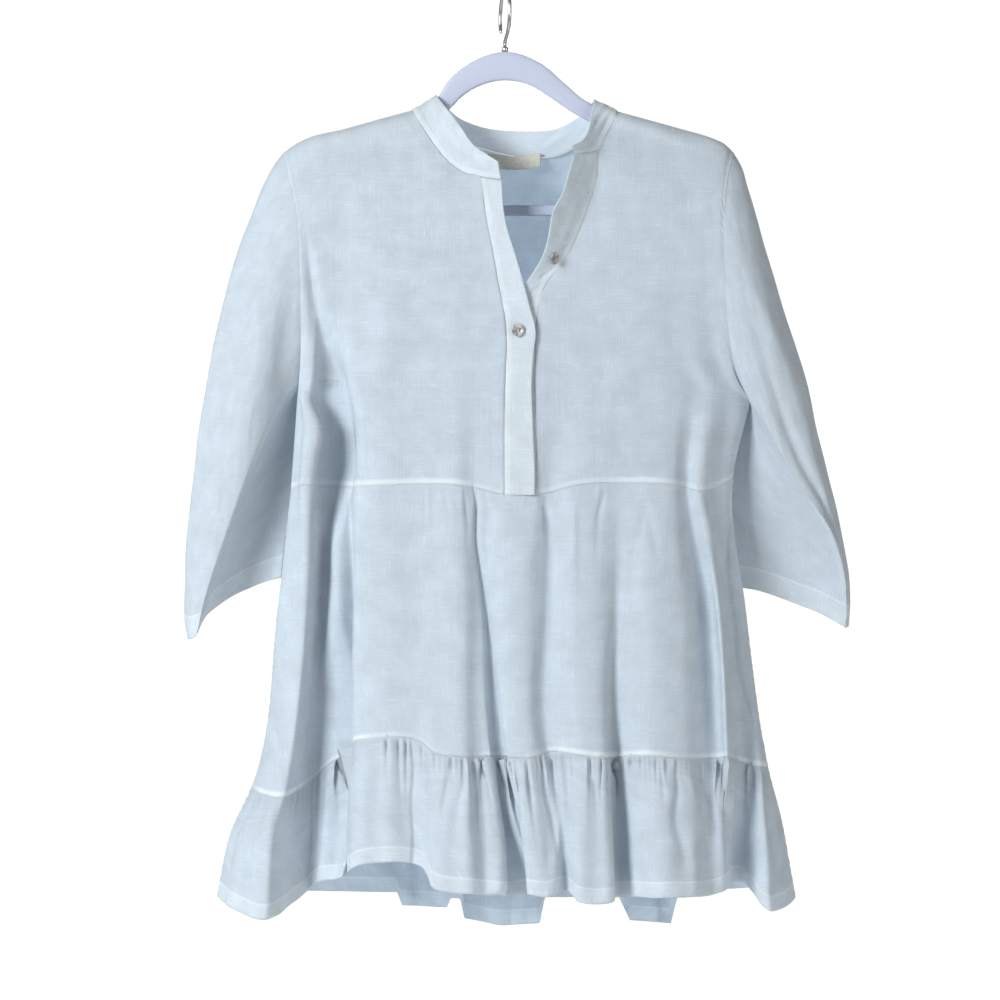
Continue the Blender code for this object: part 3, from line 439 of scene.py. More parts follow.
# Creases on the front: each is a line of (across, down, height, width), its height in millimetres and
# negative for a trough, its half width in squares. A fifth number is the half width on its right side.
FRONT_CREASES = (
    # The side fold that stands up under the right arm.
    ((302, 385, 0, 4), (308, 405, 9, 5), (312, 425, 14, 6), (310, 455, 13, 6), (307, 486, 8, 6),
     (305, 560, 4, 6), (300, 620, 0, 7)),
    # The hollow beside the right armhole, which runs on down beside the side fold.
    ((304, 225, 0, 6, 4), (308, 260, -3, 8, 5), (315, 300, -6, 9, 7), (326, 345, -9, 12, 9),
     (336, 385, -13, 16, 10), (342, 430, -20, 17, 10), (342, 470, -19, 17, 10), (341, 500, -11, 15, 10),
     (342, 545, 0, 9, 8)),
    ((345, 330, 0, 8), (356, 380, 1.2, 9), (362, 440, 0.8, 8), (366, 480, 0, 8)),
    # The sub-fold in that hollow below the waist, and the valley on its inner side.
    ((334, 492, 0, 4), (336, 540, 5, 5), (335, 600, 6, 6), (330, 640, 5, 6), (322, 680, 3, 7),
     (316, 720, 0, 8)),
    ((345, 500, 0, 9, 6), (346, 540, -10, 10, 6), (345, 580, -17, 11, 7), (343, 620, -20, 11, 7),
     (341, 660, -21, 12, 7), (340, 720, -22, 12, 8), (340, 770, -22, 12, 8), (337, 820, -24, 12, 9),
     (336, 862, -23, 12, 9), (336, 885, -21, 12, 9)),
    ((306, 780, 0, 9), (312, 810, 3, 9), (315, 840, 4, 9), (314, 885, 4, 9)),
    # Gathers under the waist, right of the middle.
    ((444, 492, 0, 1.8), (446, 500, -1.2, 2), (448, 512, -0.8, 2), (450, 530, 0, 3)),
    ((455, 492, 0, 2), (456, 502, -0.9, 2), (458, 516, 0, 3)),
    ((464, 492, 0, 2), (466, 505, -1.1, 2.4), (468, 530, -0.5, 3), (469, 560, 0, 4)),
    # The long narrow fold from the waist to the hem.
    ((473, 482, 0, 2), (476, 500, -3, 2), (476, 540, -3.5, 2.2), (481, 575, -4, 2.6), (487, 620, -5, 3),
     (492, 690, -7, 3.6), (498, 750, -10, 4.5), (507, 810, -13, 6), (513, 860, -14, 7), (515, 897, -14, 8)),
    ((482, 600, 0, 5), (482, 690, 4, 6), (486, 757, 8, 7), (492, 820, 12, 8), (494, 890, 14, 9)),
    ((480, 490, 0, 1.8), (482, 505, 1.2, 2), (482, 540, 1.1, 2), (486, 570, 0, 3)),
    ((491, 502, 0, 1.6), (492, 514, -1, 1.8), (493, 530, 0, 2.4)),
    # The valley right of the placket.
    ((541, 498, 0, 3), (546, 510, -2.2, 3.5), (550, 535, -3.2, 4), (550, 575, -3, 4.5), (548, 630, -2.6, 6),
     (543, 680, -3, 8), (545, 730, -3, 7), (551, 762, -3, 4), (561, 815, -3.4, 4), (565, 892, -5, 3)),
    ((573, 500, 0, 3), (574, 520, 1.8, 3), (574, 555, 1.4, 3.2), (575, 590, 0, 4)),
    ((607, 486, 0, 2.5), (601, 505, -1.6, 2.6), (598, 530, -1.3, 3.2), (597, 575, 0, 5)),
    ((617, 488, 0, 3), (618, 520, -0.5, 4), (619, 570, -1.4, 5), (617, 620, -2.6, 5), (613, 680, -5, 5),
     (614, 720, -7, 5), (616, 760, -9, 5), (619, 830, -11, 5), (621, 897, -11, 6)),
    ((603, 690, 0, 5, 5), (604, 740, 1, 8, 5), (606, 790, 4, 10, 6), (607, 850, 7, 12, 6),
     (608, 897, 7, 12, 6)),
    ((560, 762, 0, 4), (563, 800, 3, 5), (557, 850, 3, 6), (552, 892, 3, 6)),
    ((646, 494, 0, 2.5), (645, 508, -1.5, 2.2), (640, 530, -1.6, 2.4), (634, 556, -0.8, 3), (630, 580, 0, 4)),
    ((646, 500, 0, 2), (650, 520, -1.1, 2.2), (655, 545, -1.1, 2.6), (658, 566, 0, 3.4)),
    # The long valley beside the left side fold, and the fold's own bright crest.
    ((693, 492, 0, 4), (697, 520, -3, 6), (703, 560, -5, 7), (708, 620, -6.5, 8), (712, 680, -7, 8),
     (715, 745, -7, 7), (722, 790, -7, 8), (733, 840, -7, 9), (738, 885, -6, 9)),
    ((702, 493, 0, 3), (708, 520, 2, 4), (713, 560, 2.4, 5), (719, 620, 1.5, 5), (723, 680, 0, 6)),
    # The puckered left side seam.
    ((728, 486, 0, 3), (731, 515, -2.2, 2.6), (728, 545, -2.4, 2.4), (728, 580, -2.6, 2.6),
     (734, 625, -2.6, 2.8), (737, 665, -3, 3), (744, 695, -2.6, 3), (752, 722, -1.5, 3), (757, 745, 0, 3)),
    # Soft folds of the gathered tier.
    ((411, 742, 0, 1.6), (414, 760, -1.8, 1.8), (412, 800, -2, 2), (414, 840, -2.4, 2),
     (413, 868, -2.4, 2.4)),
    ((390, 745, 0, 5), (386, 790, 1.6, 7), (388, 860, 1.2, 9)),
    ((450, 762, 0, 2), (447, 785, -1.6, 3), (442, 815, -1.4, 4), (440, 850, 0, 6)),
    ((464, 762, 0, 2), (463, 780, -1.8, 2.6), (458, 810, -1.4, 4), (456, 845, 0, 6)),
    ((478, 762, 0, 2), (478, 785, -1.7, 2.6), (474, 815, -1.2, 4), (470, 850, 0, 6)),
    ((515, 762, 0, 2.4), (517, 790, -2.6, 3), (513, 825, -2.6, 4), (511, 860, -1.6, 5), (511, 894, -1, 6)),
    ((527, 764, 0, 2), (529, 780, -2, 2.4), (534, 815, -1, 4), (538, 850, 0, 5)),
    ((541, 762, 0, 2), (545, 785, -2, 3), (553, 820, -2.2, 3), (558, 862, -1.6, 3), (560, 892, -1, 3)),
    ((591, 762, 0, 1.8), (594, 785, -1.4, 2.4), (596, 820, 0, 3)),
    ((603, 762, 0, 2), (607, 790, -1.8, 3), (608, 830, -1, 4), (609, 880, 0, 5)),
    ((640, 760, 0, 2), (637, 785, -1.6, 2.6), (633, 830, 0, 5)),
    ((660, 762, 0, 1.8), (663, 785, -1.6, 2.4), (664, 810, 0, 4)),
    ((673, 762, 0, 2), (678, 785, -1.6, 3), (676, 820, -2, 5), (684, 850, -1.6, 6), (689, 885, 0, 7)),
    ((684, 764, 0, 2), (694, 790, 1.4, 4), (702, 830, 1.8, 5), (708, 880, 1, 6)),
    ((694, 764, 0, 2), (704, 790, -1.6, 3), (714, 830, -1, 4), (722, 870, 0, 5)),
    ((272, 800, 0, 5), (270, 835, 2.4, 5), (268, 880, 2.4, 6), (268, 920, 1.5, 7)),
    ((765, 790, 0, 3), (772, 830, -1.6, 4), (778, 880, -2, 5), (770, 905, 0, 5)),
)
BACK_CREASES = (
    ((320, 225, 0, 10), (328, 300, -3, 12), (334, 400, -5, 14), (338, 486, -4, 14), (330, 600, -3, 14),
     (318, 760, -3, 14), (306, 890, -2, 14)),
    ((706, 230, 0, 10), (700, 320, -3, 12), (698, 400, -5, 14), (692, 486, -4, 14), (706, 620, -4, 14),
     (722, 760, -4, 14), (730, 890, -3, 14)),
    ((400, 250, 0, 14), (408, 380, 1.8, 14), (404, 480, 1, 14), (404, 560, 0, 14)),
    ((600, 240, 0, 14), (590, 360, 2, 16), (596, 486, 1.2, 14), (600, 560, 0, 14)),
    ((500, 330, 0, 16), (506, 420, -2, 16), (504, 486, -2.4, 12), (505, 620, -3, 12), (505, 760, -4, 12),
     (504, 925, -4, 14)),
    ((440, 486, 0, 3), (438, 540, -2.4, 4), (440, 640, -3.6, 6), (440, 760, -4, 7), (440, 905, -4, 8)),
    ((562, 486, 0, 3), (566, 550, -2.4, 4), (572, 640, -3.4, 6), (586, 760, -4, 7), (592, 905, -4, 8)),
    ((655, 486, 0, 3), (654, 560, -2, 4), (656, 660, -3, 6), (664, 760, -3.6, 7), (672, 900, -3.6, 8)),
    ((380, 486, 0, 3), (378, 560, -2, 4), (376, 660, -3, 6), (370, 760, -3.4, 7), (370, 892, -3.4, 8)),
)
SLEEVE_CREASES = {
    "sleeve_right": (
        ((262, 215, 0, 8), (258, 260, 1.2, 10), (250, 320, 0, 10)),
        ((290, 300, 0, 6), (284, 350, -1.6, 8), (272, 400, -1.2, 9), (258, 440, 0, 9)),
        ((225, 430, 0, 8), (216, 500, 1.0, 8), (208, 570, 0, 8)),
    ),
    "sleeve_left": (
        ((738, 270, 0, 7), (748, 310, -1.6, 8), (764, 360, -2.6, 8), (786, 425, -3.6, 6),
         (806, 470, -4.6, 5), (826, 506, -4, 4), (840, 545, 0, 4)),
        ((758, 290, 0, 5), (770, 322, 2, 6), (784, 358, 1.6, 7), (800, 400, 0, 8)),
        ((745, 180, 0, 8), (752, 220, 1, 9), (758, 260, 0, 8)),
    ),
}

# How each edge is sewn: the width in millimetres of the doubled cloth that shows pale beside the seam, and
# how pale it is.
ARMHOLE_SEAM = (3.2, 0.4)
SHOULDER_SEAM = (3.0, 0.35)
SIDE_SEAM = (6.0, 0.5)
WAIST_SEAM = (6.6, 1.0)
TIER_SEAM = (6.0, 1.0)
PLAIN_SEAM = (1.2, 0.4)


def unit(v):
    """Vectors brought to the length one."""
    return v / np.maximum(np.linalg.norm(v, axis=-1, keepdims=True), TINY)


def ease(t):
    """A smooth step from 0 to 1."""
    return t * t * (3 - 2 * t)


def on_drawing(points):
    """How far across and down the front drawing points lie."""
    return points[..., 0] / SQUARE + MIDDLE_ACROSS, ORIGIN_DOWN - points[..., 2] / SQUARE


def beside(across, down, a, b):
    """How far along the segment from a to b each place lies, from 0 to 1, and how far from it."""
    x, y = b[0] - a[0], b[1] - a[1]
    t = np.clip(((across - a[0]) * x + (down - a[1]) * y) / max(x * x + y * y, TINY), 0, 1)
    return t, np.hypot(across - a[0] - t * x, down - a[1] - t * y)


def through(points, at):
    """A smooth curve through the rows of points, at places counted in rows."""
    p = np.asarray(points, float)
    at = np.asarray(at, float)
    length = np.maximum(np.linalg.norm(np.diff(p, axis=0), axis=-1, keepdims=True), 1e-6)
    rate = np.diff(p, axis=0) / length
    slope = np.concatenate([rate[:1], rate[-1:]])
    if len(p) > 2:
        inner = (length[1:] * rate[:-1] + length[:-1] * rate[1:]) / (length[1:] + length[:-1])
        slope = np.concatenate([rate[:1], inner, rate[-1:]])
    i = np.clip(np.floor(at).astype(int), 0, len(p) - 2)
    f = (at - i).reshape(-1, *([1] * (p.ndim - 1)))
    h = length[i]
    return (
        (2 * f**3 - 3 * f**2 + 1) * p[i]
        + (f**3 - 2 * f**2 + f) * h * slope[i]
        + (3 * f**2 - 2 * f**3) * p[i + 1]
        + (f**3 - f**2) * h * slope[i + 1]
    )


def evenly(points, count, start=0.0, end=1.0):
    """Places along points, counted in rows, at equal steps of the way from start to end."""
    p = np.asarray(points, float)
    way = np.concatenate([[0.0], np.cumsum(np.linalg.norm(np.diff(p, axis=0), axis=1))])
    return np.interp(np.linspace(start, end, count) * way[-1], way, np.arange(len(p)))


def line(points, count):
    return through(points, evenly(points, count))


def along(points, parts):
    """Points at these parts (0 to 1) of the way along a curve."""
    last = len(points) - 1
    fine = evenly(points, 401)
    return through(points, np.interp(parts, np.linspace(0, 1, 401), fine).clip(0, last))


def finer(values, steps):
    """The values again with this many steps between each two."""
    values = np.asarray(values, float)
    return np.interp(np.arange((len(values) - 1) * steps + 1) / steps, np.arange(len(values)), values)


def round_body(levels, places):
    """The body's surface at these levels and places round it, both counted in FOLDS."""
    table = drawn(*FOLDS.values())
    ring = np.concatenate([table[-3:], table, table[:3]])
    around = through(ring, np.asarray(places) + 3)
    return through(np.moveaxis(around, 0, 1), levels)


def armhole(seam, parts, side):
    """The armhole's seam on one side (front -1, back 1): its depth grows from the shoulder, then closes."""
    points = along(seam, parts)
    points[:, 1] = side * ARMHOLE_DEPTH * np.abs(np.sin(math.pi * parts**0.75)) ** 0.7
    return points


def patch(top, bottom, left, right, parts=None):
    """Fills four lines that meet at their corners, its rows from top to bottom at these parts of the way."""
    s = np.linspace(0, 1, len(top))[None, :, None]
    t = np.linspace(0, 1, len(left)) if parts is None else parts
    t = t[:, None, None]
    fade = np.array([1, 3, 1])
    across = (1 - s) * left[:, None] + s * right[:, None]
    above = top[None] - ((1 - s) * top[0] + s * top[-1])
    below = bottom[None] - ((1 - s) * bottom[0] + s * bottom[-1])
    return across + (1 - t) ** fade * above + t**fade * below


def over_shoulder(grid, weight, side):
    """Rounds the cloth over the hanger just below the shoulder line, by weight in each column."""
    drop = (grid[0, :, 2][None] - grid[:, :, 2]) / SHOULDER_ROUND
    need = SHOULDER_ROUND * np.sqrt(1 - (1 - np.clip(drop, 0, 1)) ** 2) * weight[None]
    depth = np.abs(grid[:, :, 1])
    grid[:, :, 1] = side * (depth**4 + need**4) ** 0.25
    return grid


def place(grid):
    """Moves points that are given as seen from the front out to their depth along the line of sight."""
    out = np.array(grid, float)
    grow = 1 + out[..., 1] / EYE_DISTANCE
    out[..., 0] = EYE_X + (out[..., 0] - EYE_X) * grow
    out[..., 2] = EYE_Z + (out[..., 2] - EYE_Z) * grow
    return out


def normals(grid, ring, outward):
    """The unit normal at each point, turned to the side of outward."""
    across = np.roll(grid, -1, axis=1) - np.roll(grid, 1, axis=1) if ring else np.gradient(grid, axis=1)
    normal = np.cross(across, np.gradient(grid, axis=0))
    if (normal * outward).sum() < 0:
        normal = -normal
    return unit(normal)


def side_of(grid, side):
    """Keeps a panel on its own side of the middle plane."""
    out = grid.copy()
    out[..., 1] = side * np.maximum(side * out[..., 1], 0)
    return out


def smooth(grid, rounds, ring):
    """Evens out the points across the columns, more so away from the first row."""
    out = grid.copy()
    for _ in range(rounds):
        if ring:
            mean = (np.roll(out, 1, axis=1) + np.roll(out, -1, axis=1)) / 2
        else:
            mean = out.copy()
            mean[:, 1:-1] = (out[:, :-2] + out[:, 2:]) / 2
        weight = np.clip(np.arange(len(out)) / 10, 0, 1)[:, None, None]
        out += 0.5 * weight * (mean - out)
    return out


def ways(grid, axis):
    """The distance walked along each row (axis 1) or column (axis 0) from its start."""
    step = np.linalg.norm(np.diff(grid, axis=axis), axis=-1)
    zero = np.zeros_like(step[:, :1] if axis == 1 else step[:1])
    return np.concatenate([zero, np.cumsum(step, axis=axis)], axis=axis)


def lattice(u, v, size_u, size_v, seed):
    """Smooth random heights, from -1 to 1, over places u and v, one bump about each size."""
    rng = np.random.default_rng(seed)
    table = rng.uniform(-1, 1, (64, 64))
    x, y = u / size_u, v / size_v
    i, j = np.floor(x).astype(int), np.floor(y).astype(int)
    f, g = x - i, y - j
    f, g = ease(f), ease(g)
    a, b = table[i % 64, j % 64], table[(i + 1) % 64, j % 64]
    c, d = table[i % 64, (j + 1) % 64], table[(i + 1) % 64, (j + 1) % 64]
    return (1 - g) * ((1 - f) * a + f * b) + g * ((1 - f) * c + f * d)


def crease_heights(grid, creases):
    """The sum of the creases' heights over a grid, by its places on the front drawing."""
    across, down = on_drawing(grid)
    total = np.zeros(grid.shape[:2])
    for crease in creases:
        rows = through(np.array(crease, float), np.linspace(0, len(crease) - 1, 6 * len(crease)))
        best = np.full(total.shape, np.inf)
        height = np.zeros(total.shape)
        for a, b in zip(rows[:-1], rows[1:]):
            t, away = beside(across, down, a, b)
            right = (b[0] - a[0]) * (down - a[1]) < (b[1] - a[1]) * (across - a[0])
            width = np.where(right, a[-1] + t * (b[-1] - a[-1]), a[3] + t * (b[3] - a[3]))
            ratio = away / width
            nearer = ratio < best
            best = np.where(nearer, ratio, best)
            height = np.where(nearer, a[2] + t * (b[2] - a[2]), height)
        total += height * np.exp(-(best**2))
    return total


def material(name, colour, roughness, metallic=0.0):
    made = bpy.data.materials.new(name)
    made.use_nodes = True
    shader = made.node_tree.nodes["Principled BSDF"]
    shader.inputs["Base Color"].default_value = (*colour, 1)
    shader.inputs["Roughness"].default_value = roughness
    shader.inputs["Metallic"].default_value = metallic
    made.diffuse_color = (*colour, 1)
    return made


def math_node(tree, kind, *values):
    """A maths node whose inputs are these numbers or sockets."""
    node = tree.nodes.new("ShaderNodeMath")
    node.operation = kind
    for socket, value in zip(node.inputs, values):
        if isinstance(value, (int, float)):
            socket.default_value = value
        else:
            tree.links.new(value, socket)
    return node.outputs[0]


def stretched_noise(tree, vector, scale, detail=2.0):
    """Noise with its own number of bumps to the metre along each axis, from -0.5 to 0.5."""
    mapping = tree.nodes.new("ShaderNodeMapping")
    mapping.inputs["Scale"].default_value = (*scale, 1)[:3]
    tree.links.new(vector, mapping.inputs["Vector"])
    noise = tree.nodes.new("ShaderNodeTexNoise")
    noise.inputs["Scale"].default_value = 1.0
    noise.inputs["Detail"].default_value = detail
    tree.links.new(mapping.outputs[0], noise.inputs["Vector"])
    return math_node(tree, "SUBTRACT", noise.outputs["Fac"], 0.5)


def attribute(tree, name):
    node = tree.nodes.new("ShaderNodeAttribute")
    node.attribute_name = name
    return node.outputs["Fac"]


def ramp(tree, value, low, high, start=0.0, end=1.0):
    """A smooth step from start to end as value goes from low to high."""
    node = tree.nodes.new("ShaderNodeMapRange")
    node.interpolation_type = "SMOOTHSTEP"
    node.inputs["From Min"].default_value = low
    node.inputs["From Max"].default_value = high
    node.inputs["To Min"].default_value = start
    node.inputs["To Max"].default_value = end
    tree.links.new(value, node.inputs["Value"])
    return node.outputs["Result"]


def mixed(tree, factor, one, two):
    """A colour between one and two."""
    node = tree.nodes.new("ShaderNodeMix")
    node.data_type = "RGBA"
    tree.links.new(factor, node.inputs["Factor"])
    for socket, value in ((node.inputs[6], one), (node.inputs[7], two)):
        if isinstance(value, tuple):
            socket.default_value = (*value, 1)
        else:
            tree.links.new(value, socket)
    return node.outputs[2]


def scaled(tree, colour, factor):
    node = tree.nodes.new("ShaderNodeVectorMath")
    node.operation = "SCALE"
    tree.links.new(colour, node.inputs[0])
    tree.links.new(factor, node.inputs["Scale"])
    return node.outputs[0]


def bumped(tree, shader, height, distance, strength):
    node = tree.nodes.new("ShaderNodeBump")
    node.inputs["Distance"].default_value = distance
    node.inputs["Strength"].default_value = strength
    tree.links.new(height, node.inputs["Height"])
    tree.links.new(node.outputs["Normal"], shader.inputs["Normal"])


def textured(name, colour, roughness, metallic=0.0):
    """A new material with its node tree, its shader and the object's own coordinates."""
    made = material(name, colour, roughness, metallic)
    tree = made.node_tree
    coordinates = tree.nodes.new("ShaderNodeTexCoord").outputs["Object"]
    return made, tree, tree.nodes["Principled BSDF"], coordinates


def linen_material(name, lets_through):
    """Slubby open linen: uneven threads both ways, paler where seams and hems lie double, with painted light
    where the hanger lies behind it.
    """
    made = material(name, LINEN_THIN, 0.9)
    tree = made.node_tree
    shader = tree.nodes["Principled BSDF"]
    uv = tree.nodes.new("ShaderNodeUVMap")
    uv.uv_map = "Weave"
    uv = uv.outputs["UV"]
    threads_down = stretched_noise(tree, uv, (1100, 70))
    threads_across = stretched_noise(tree, uv, (70, 1100))
    slubs_down = stretched_noise(tree, uv, (620, 66), 2)
    slubs_across = stretched_noise(tree, uv, (66, 620), 2)
    long_down = stretched_noise(tree, uv, (360, 6), 3)
    long_across = stretched_noise(tree, uv, (6, 360), 3)
    clouds = stretched_noise(tree, uv, (46, 46), 5)
    patches = stretched_noise(tree, uv, (48, 60), 3)
    fine = math_node(tree, "ADD", threads_down, threads_across)
    # Slubs come and go in patches, those down the cloth where those across it are few.
    slubs_down = math_node(tree, "MULTIPLY", ramp(tree, slubs_down, 0.0, 0.2), ramp(tree, patches, -0.1, 0.1))
    slubs_across = ramp(tree, slubs_across, 0.0, 0.2)
    slubs_across = math_node(tree, "MULTIPLY", slubs_across, ramp(tree, patches, -0.1, 0.1, 1.0, 0.0))
    slubs = math_node(tree, "ADD", slubs_down, slubs_across)
    coarse = math_node(tree, "ADD", long_down, long_across)
    seam = attribute(tree, "seam_mm")
    ratio = attribute(tree, "seam_ratio")
    hem = attribute(tree, "hem_mm")
    seam_band = ramp(tree, ratio, 0.55, 1.15, 1.0, 0.0)
    seam_band = math_node(tree, "MULTIPLY", seam_band, attribute(tree, "seam_pale"))
    hem_band = ramp(tree, hem, -0.6, 0.6, 0.3, 0.0)
    hem_line = math_node(tree, "MULTIPLY", ramp(tree, hem, -2.5, -1.2), ramp(tree, hem, -0.6, 0.6, 0.35, 0.0))
    double = math_node(tree, "MAXIMUM", seam_band, math_node(tree, "ADD", hem_band, hem_line))
    # Painted light: the cloth is painted paler where the hanger lies behind it; on the bands this attribute
    # holds their own doubled paleness.
    double = math_node(tree, "ADD", double, attribute(tree, "double_and_painted_light"))
    double = math_node(tree, "MINIMUM", double, 1.0)
    colour = mixed(tree, double, LINEN_THIN, LINEN_DOUBLE_AND_PAINTED_LIGHT)
    tone = math_node(tree, "MULTIPLY_ADD", fine, 0.08, 0.97)
    for value, weight in ((slubs, 0.08), (coarse, 0.07), (clouds, 0.26)):
        tone = math_node(tree, "MULTIPLY_ADD", value, weight, tone)
    colour = scaled(tree, colour, tone)
    tree.links.new(colour, shader.inputs["Base Color"])
    groove = ramp(tree, seam, 0.0, 0.8, -0.2, 0.0)
    seam_step = ramp(tree, ratio, 0.7, 1.1, 0.4, 0.0)
    hem_step = ramp(tree, hem, -0.7, 0.3, 0.7, 0.0)
    height = math_node(tree, "MULTIPLY_ADD", fine, 0.5, math_node(tree, "MULTIPLY", slubs, 0.35))
    height = math_node(tree, "MULTIPLY_ADD", coarse, 0.4, height)
    for value in (groove, seam_step, hem_step):
        height = math_node(tree, "ADD", height, value)
    bumped(tree, shader, height, 0.0006, 0.6)
    roughness = math_node(tree, "MULTIPLY_ADD", coarse, 0.12, 0.88)
    tree.links.new(roughness, shader.inputs["Roughness"])
    shader.inputs["Sheen Weight"].default_value = 0.12
    shader.inputs["Sheen Roughness"].default_value = 0.5
    shader.inputs["Specular IOR Level"].default_value = 0.2
    # The open weave lets part of the light through.
    through_light = tree.nodes.new("ShaderNodeBsdfTranslucent")
    tree.links.new(colour, through_light.inputs["Color"])
    blend = tree.nodes.new("ShaderNodeMixShader")
    blend.inputs["Fac"].default_value = lets_through
    tree.links.new(shader.outputs[0], blend.inputs[1])
    tree.links.new(through_light.outputs[0], blend.inputs[2])
    tree.links.new(blend.outputs[0], tree.nodes["Material Output"].inputs["Surface"])
    return made


def plastic_material():
    made, tree, shader, coordinates = textured("hanger_gloss", (0.50, 0.54, 0.68), 0.38)
    grain = stretched_noise(tree, coordinates, (900, 900, 900), 3)
    marks = stretched_noise(tree, coordinates, (30, 30, 120), 4)
    tree.links.new(math_node(tree, "MULTIPLY_ADD", marks, 0.2, 0.38), shader.inputs["Roughness"])
    bumped(tree, shader, grain, 0.0001, 0.25)
    shader.inputs["Subsurface Weight"].default_value = 0.1
    shader.inputs["Subsurface Radius"].default_value = (0.004, 0.004, 0.005)
    return made


def steel_material():
    made, tree, shader, coordinates = textured("hook_wire", (0.52, 0.53, 0.55), 0.28, 1.0)
    drawn_marks = stretched_noise(tree, coordinates, (1500, 1500, 90), 3)
    tree.links.new(math_node(tree, "MULTIPLY_ADD", drawn_marks, 0.25, 0.3), shader.inputs["Roughness"])
    bumped(tree, shader, drawn_marks, 0.00005, 0.3)
    return made


def button_material():
    """Smoky shell: grey with paler and browner swirls under a soft gloss."""
    made, tree, shader, coordinates = textured("smoky_shell", (0.3, 0.3, 0.32), 0.25)
    swirl = stretched_noise(tree, coordinates, (260, 260, 420), 4)
    colour = mixed(tree, ramp(tree, swirl, -0.18, 0.18), (0.16, 0.16, 0.18), (0.52, 0.5, 0.5))
    tree.links.new(colour, shader.inputs["Base Color"])
    tree.links.new(math_node(tree, "MULTIPLY_ADD", swirl, 0.3, 0.28), shader.inputs["Roughness"])
    shader.inputs["Coat Weight"].default_value = 0.3
    return made


def tape_material():
    made, tree, shader, coordinates = textured("woven_tape", (0.62, 0.56, 0.45), 0.8)
    ribs = stretched_noise(tree, coordinates, (300, 300, 3000), 2)
    colour = mixed(tree, ramp(tree, ribs, -0.2, 0.2), (0.46, 0.45, 0.4), (0.68, 0.67, 0.6))
    tree.links.new(colour, shader.inputs["Base Color"])
    bumped(tree, shader, ribs, 0.0003, 0.6)
    return made


def thread_material():
    made, tree, shader, coordinates = textured("sewing_thread", (0.8, 0.83, 0.88), 0.6)
    twist = stretched_noise(tree, coordinates, (2600, 2600, 2600), 1)
    tree.links.new(math_node(tree, "MULTIPLY_ADD", twist, 0.4, 0.6), shader.inputs["Roughness"])
    bumped(tree, shader, twist, 0.0002, 0.5)
    shader.inputs["Sheen Weight"].default_value = 0.2
    return made


def add(name, points, faces, made, uvs=None, numbers=None):
    """A mesh in millimetres as an object; uvs has one place for each corner, numbers one for each point."""
    mesh = bpy.data.meshes.new(name)
    mesh.from_pydata((np.asarray(points) / 1000).tolist(), [], faces)
    if uvs is not None:
        layer = mesh.uv_layers.new(name="Weave")
        layer.data.foreach_set("uv", (np.asarray(uvs, float) / 1000).ravel())
    for key, values in (numbers or {}).items():
        made_attribute = mesh.attributes.new(key, "FLOAT", "POINT")
        made_attribute.data.foreach_set("value", np.asarray(values, np.float32).ravel())
    mesh.shade_smooth()
    obj = bpy.data.objects.new(name, mesh)
    mesh.materials.append(made)
    bpy.context.scene.collection.objects.link(obj)
    return obj


def thicken(obj, offset):
    """Makes a sheet a thin shell: inward of its faces at offset -1, to both sides at 0."""
    solid = obj.modifiers.new("thickness", "SOLIDIFY")
    solid.thickness = SHELL_THICK / 1000
    solid.offset = offset


def face_outward(obj):
    """Turns the faces of a closed mesh outward."""
    shape = bmesh.new()
    shape.from_mesh(obj.data)
    bmesh.ops.recalc_face_normals(shape, faces=shape.faces)
    shape.to_mesh(obj.data)
    shape.free()


def tube_faces(base, rows, sides):
    """The faces of a tube whose rows of points start at base, closed at both ends."""
    faces = []
    for row in range(rows - 1):
        a = base + row * sides
        for k in range(sides):
            m = (k + 1) % sides
            faces.append((a + k, a + m, a + sides + m, a + sides + k))
    last = base + (rows - 1) * sides
    return [*faces, tuple(range(base, base + sides))[::-1], tuple(range(last, last + sides))]


def grid_faces(rows, columns, ring):
    """The four-sided faces of a grid of points, and the row and column of each corner."""
    wraps = columns if ring else columns - 1
    r, c = np.meshgrid(np.arange(rows - 1), np.arange(wraps), indexing="ij")
    e = (c + 1) % columns
    below = r + 1
    quads = np.stack([r * columns + c, r * columns + e, below * columns + e, below * columns + c], axis=-1)
    corners = np.stack([r, c, r, c + 1, r + 1, c + 1, r + 1, c], axis=-1)
    return quads.reshape(-1, 4), corners.reshape(-1, 4, 2)


def closed_up(grid, ring):
    """The grid with its first column once more at its end, where it goes all round."""
    return np.concatenate([grid, grid[:, :1]], axis=1) if ring else grid


def from_edges(grid, ring=False):
    """The distance of each point from each edge of its grid, walked along the cloth."""
    columns = grid.shape[1]
    closed = closed_up(grid, ring)
    across, down = ways(closed, 1), ways(closed, 0)
    return {
        "left": across[:, :columns],
        "right": (across[:, -1:] - across)[:, :columns],
        "top": down[:, :columns],
        "bottom": (down[-1:] - down)[:, :columns],
    }


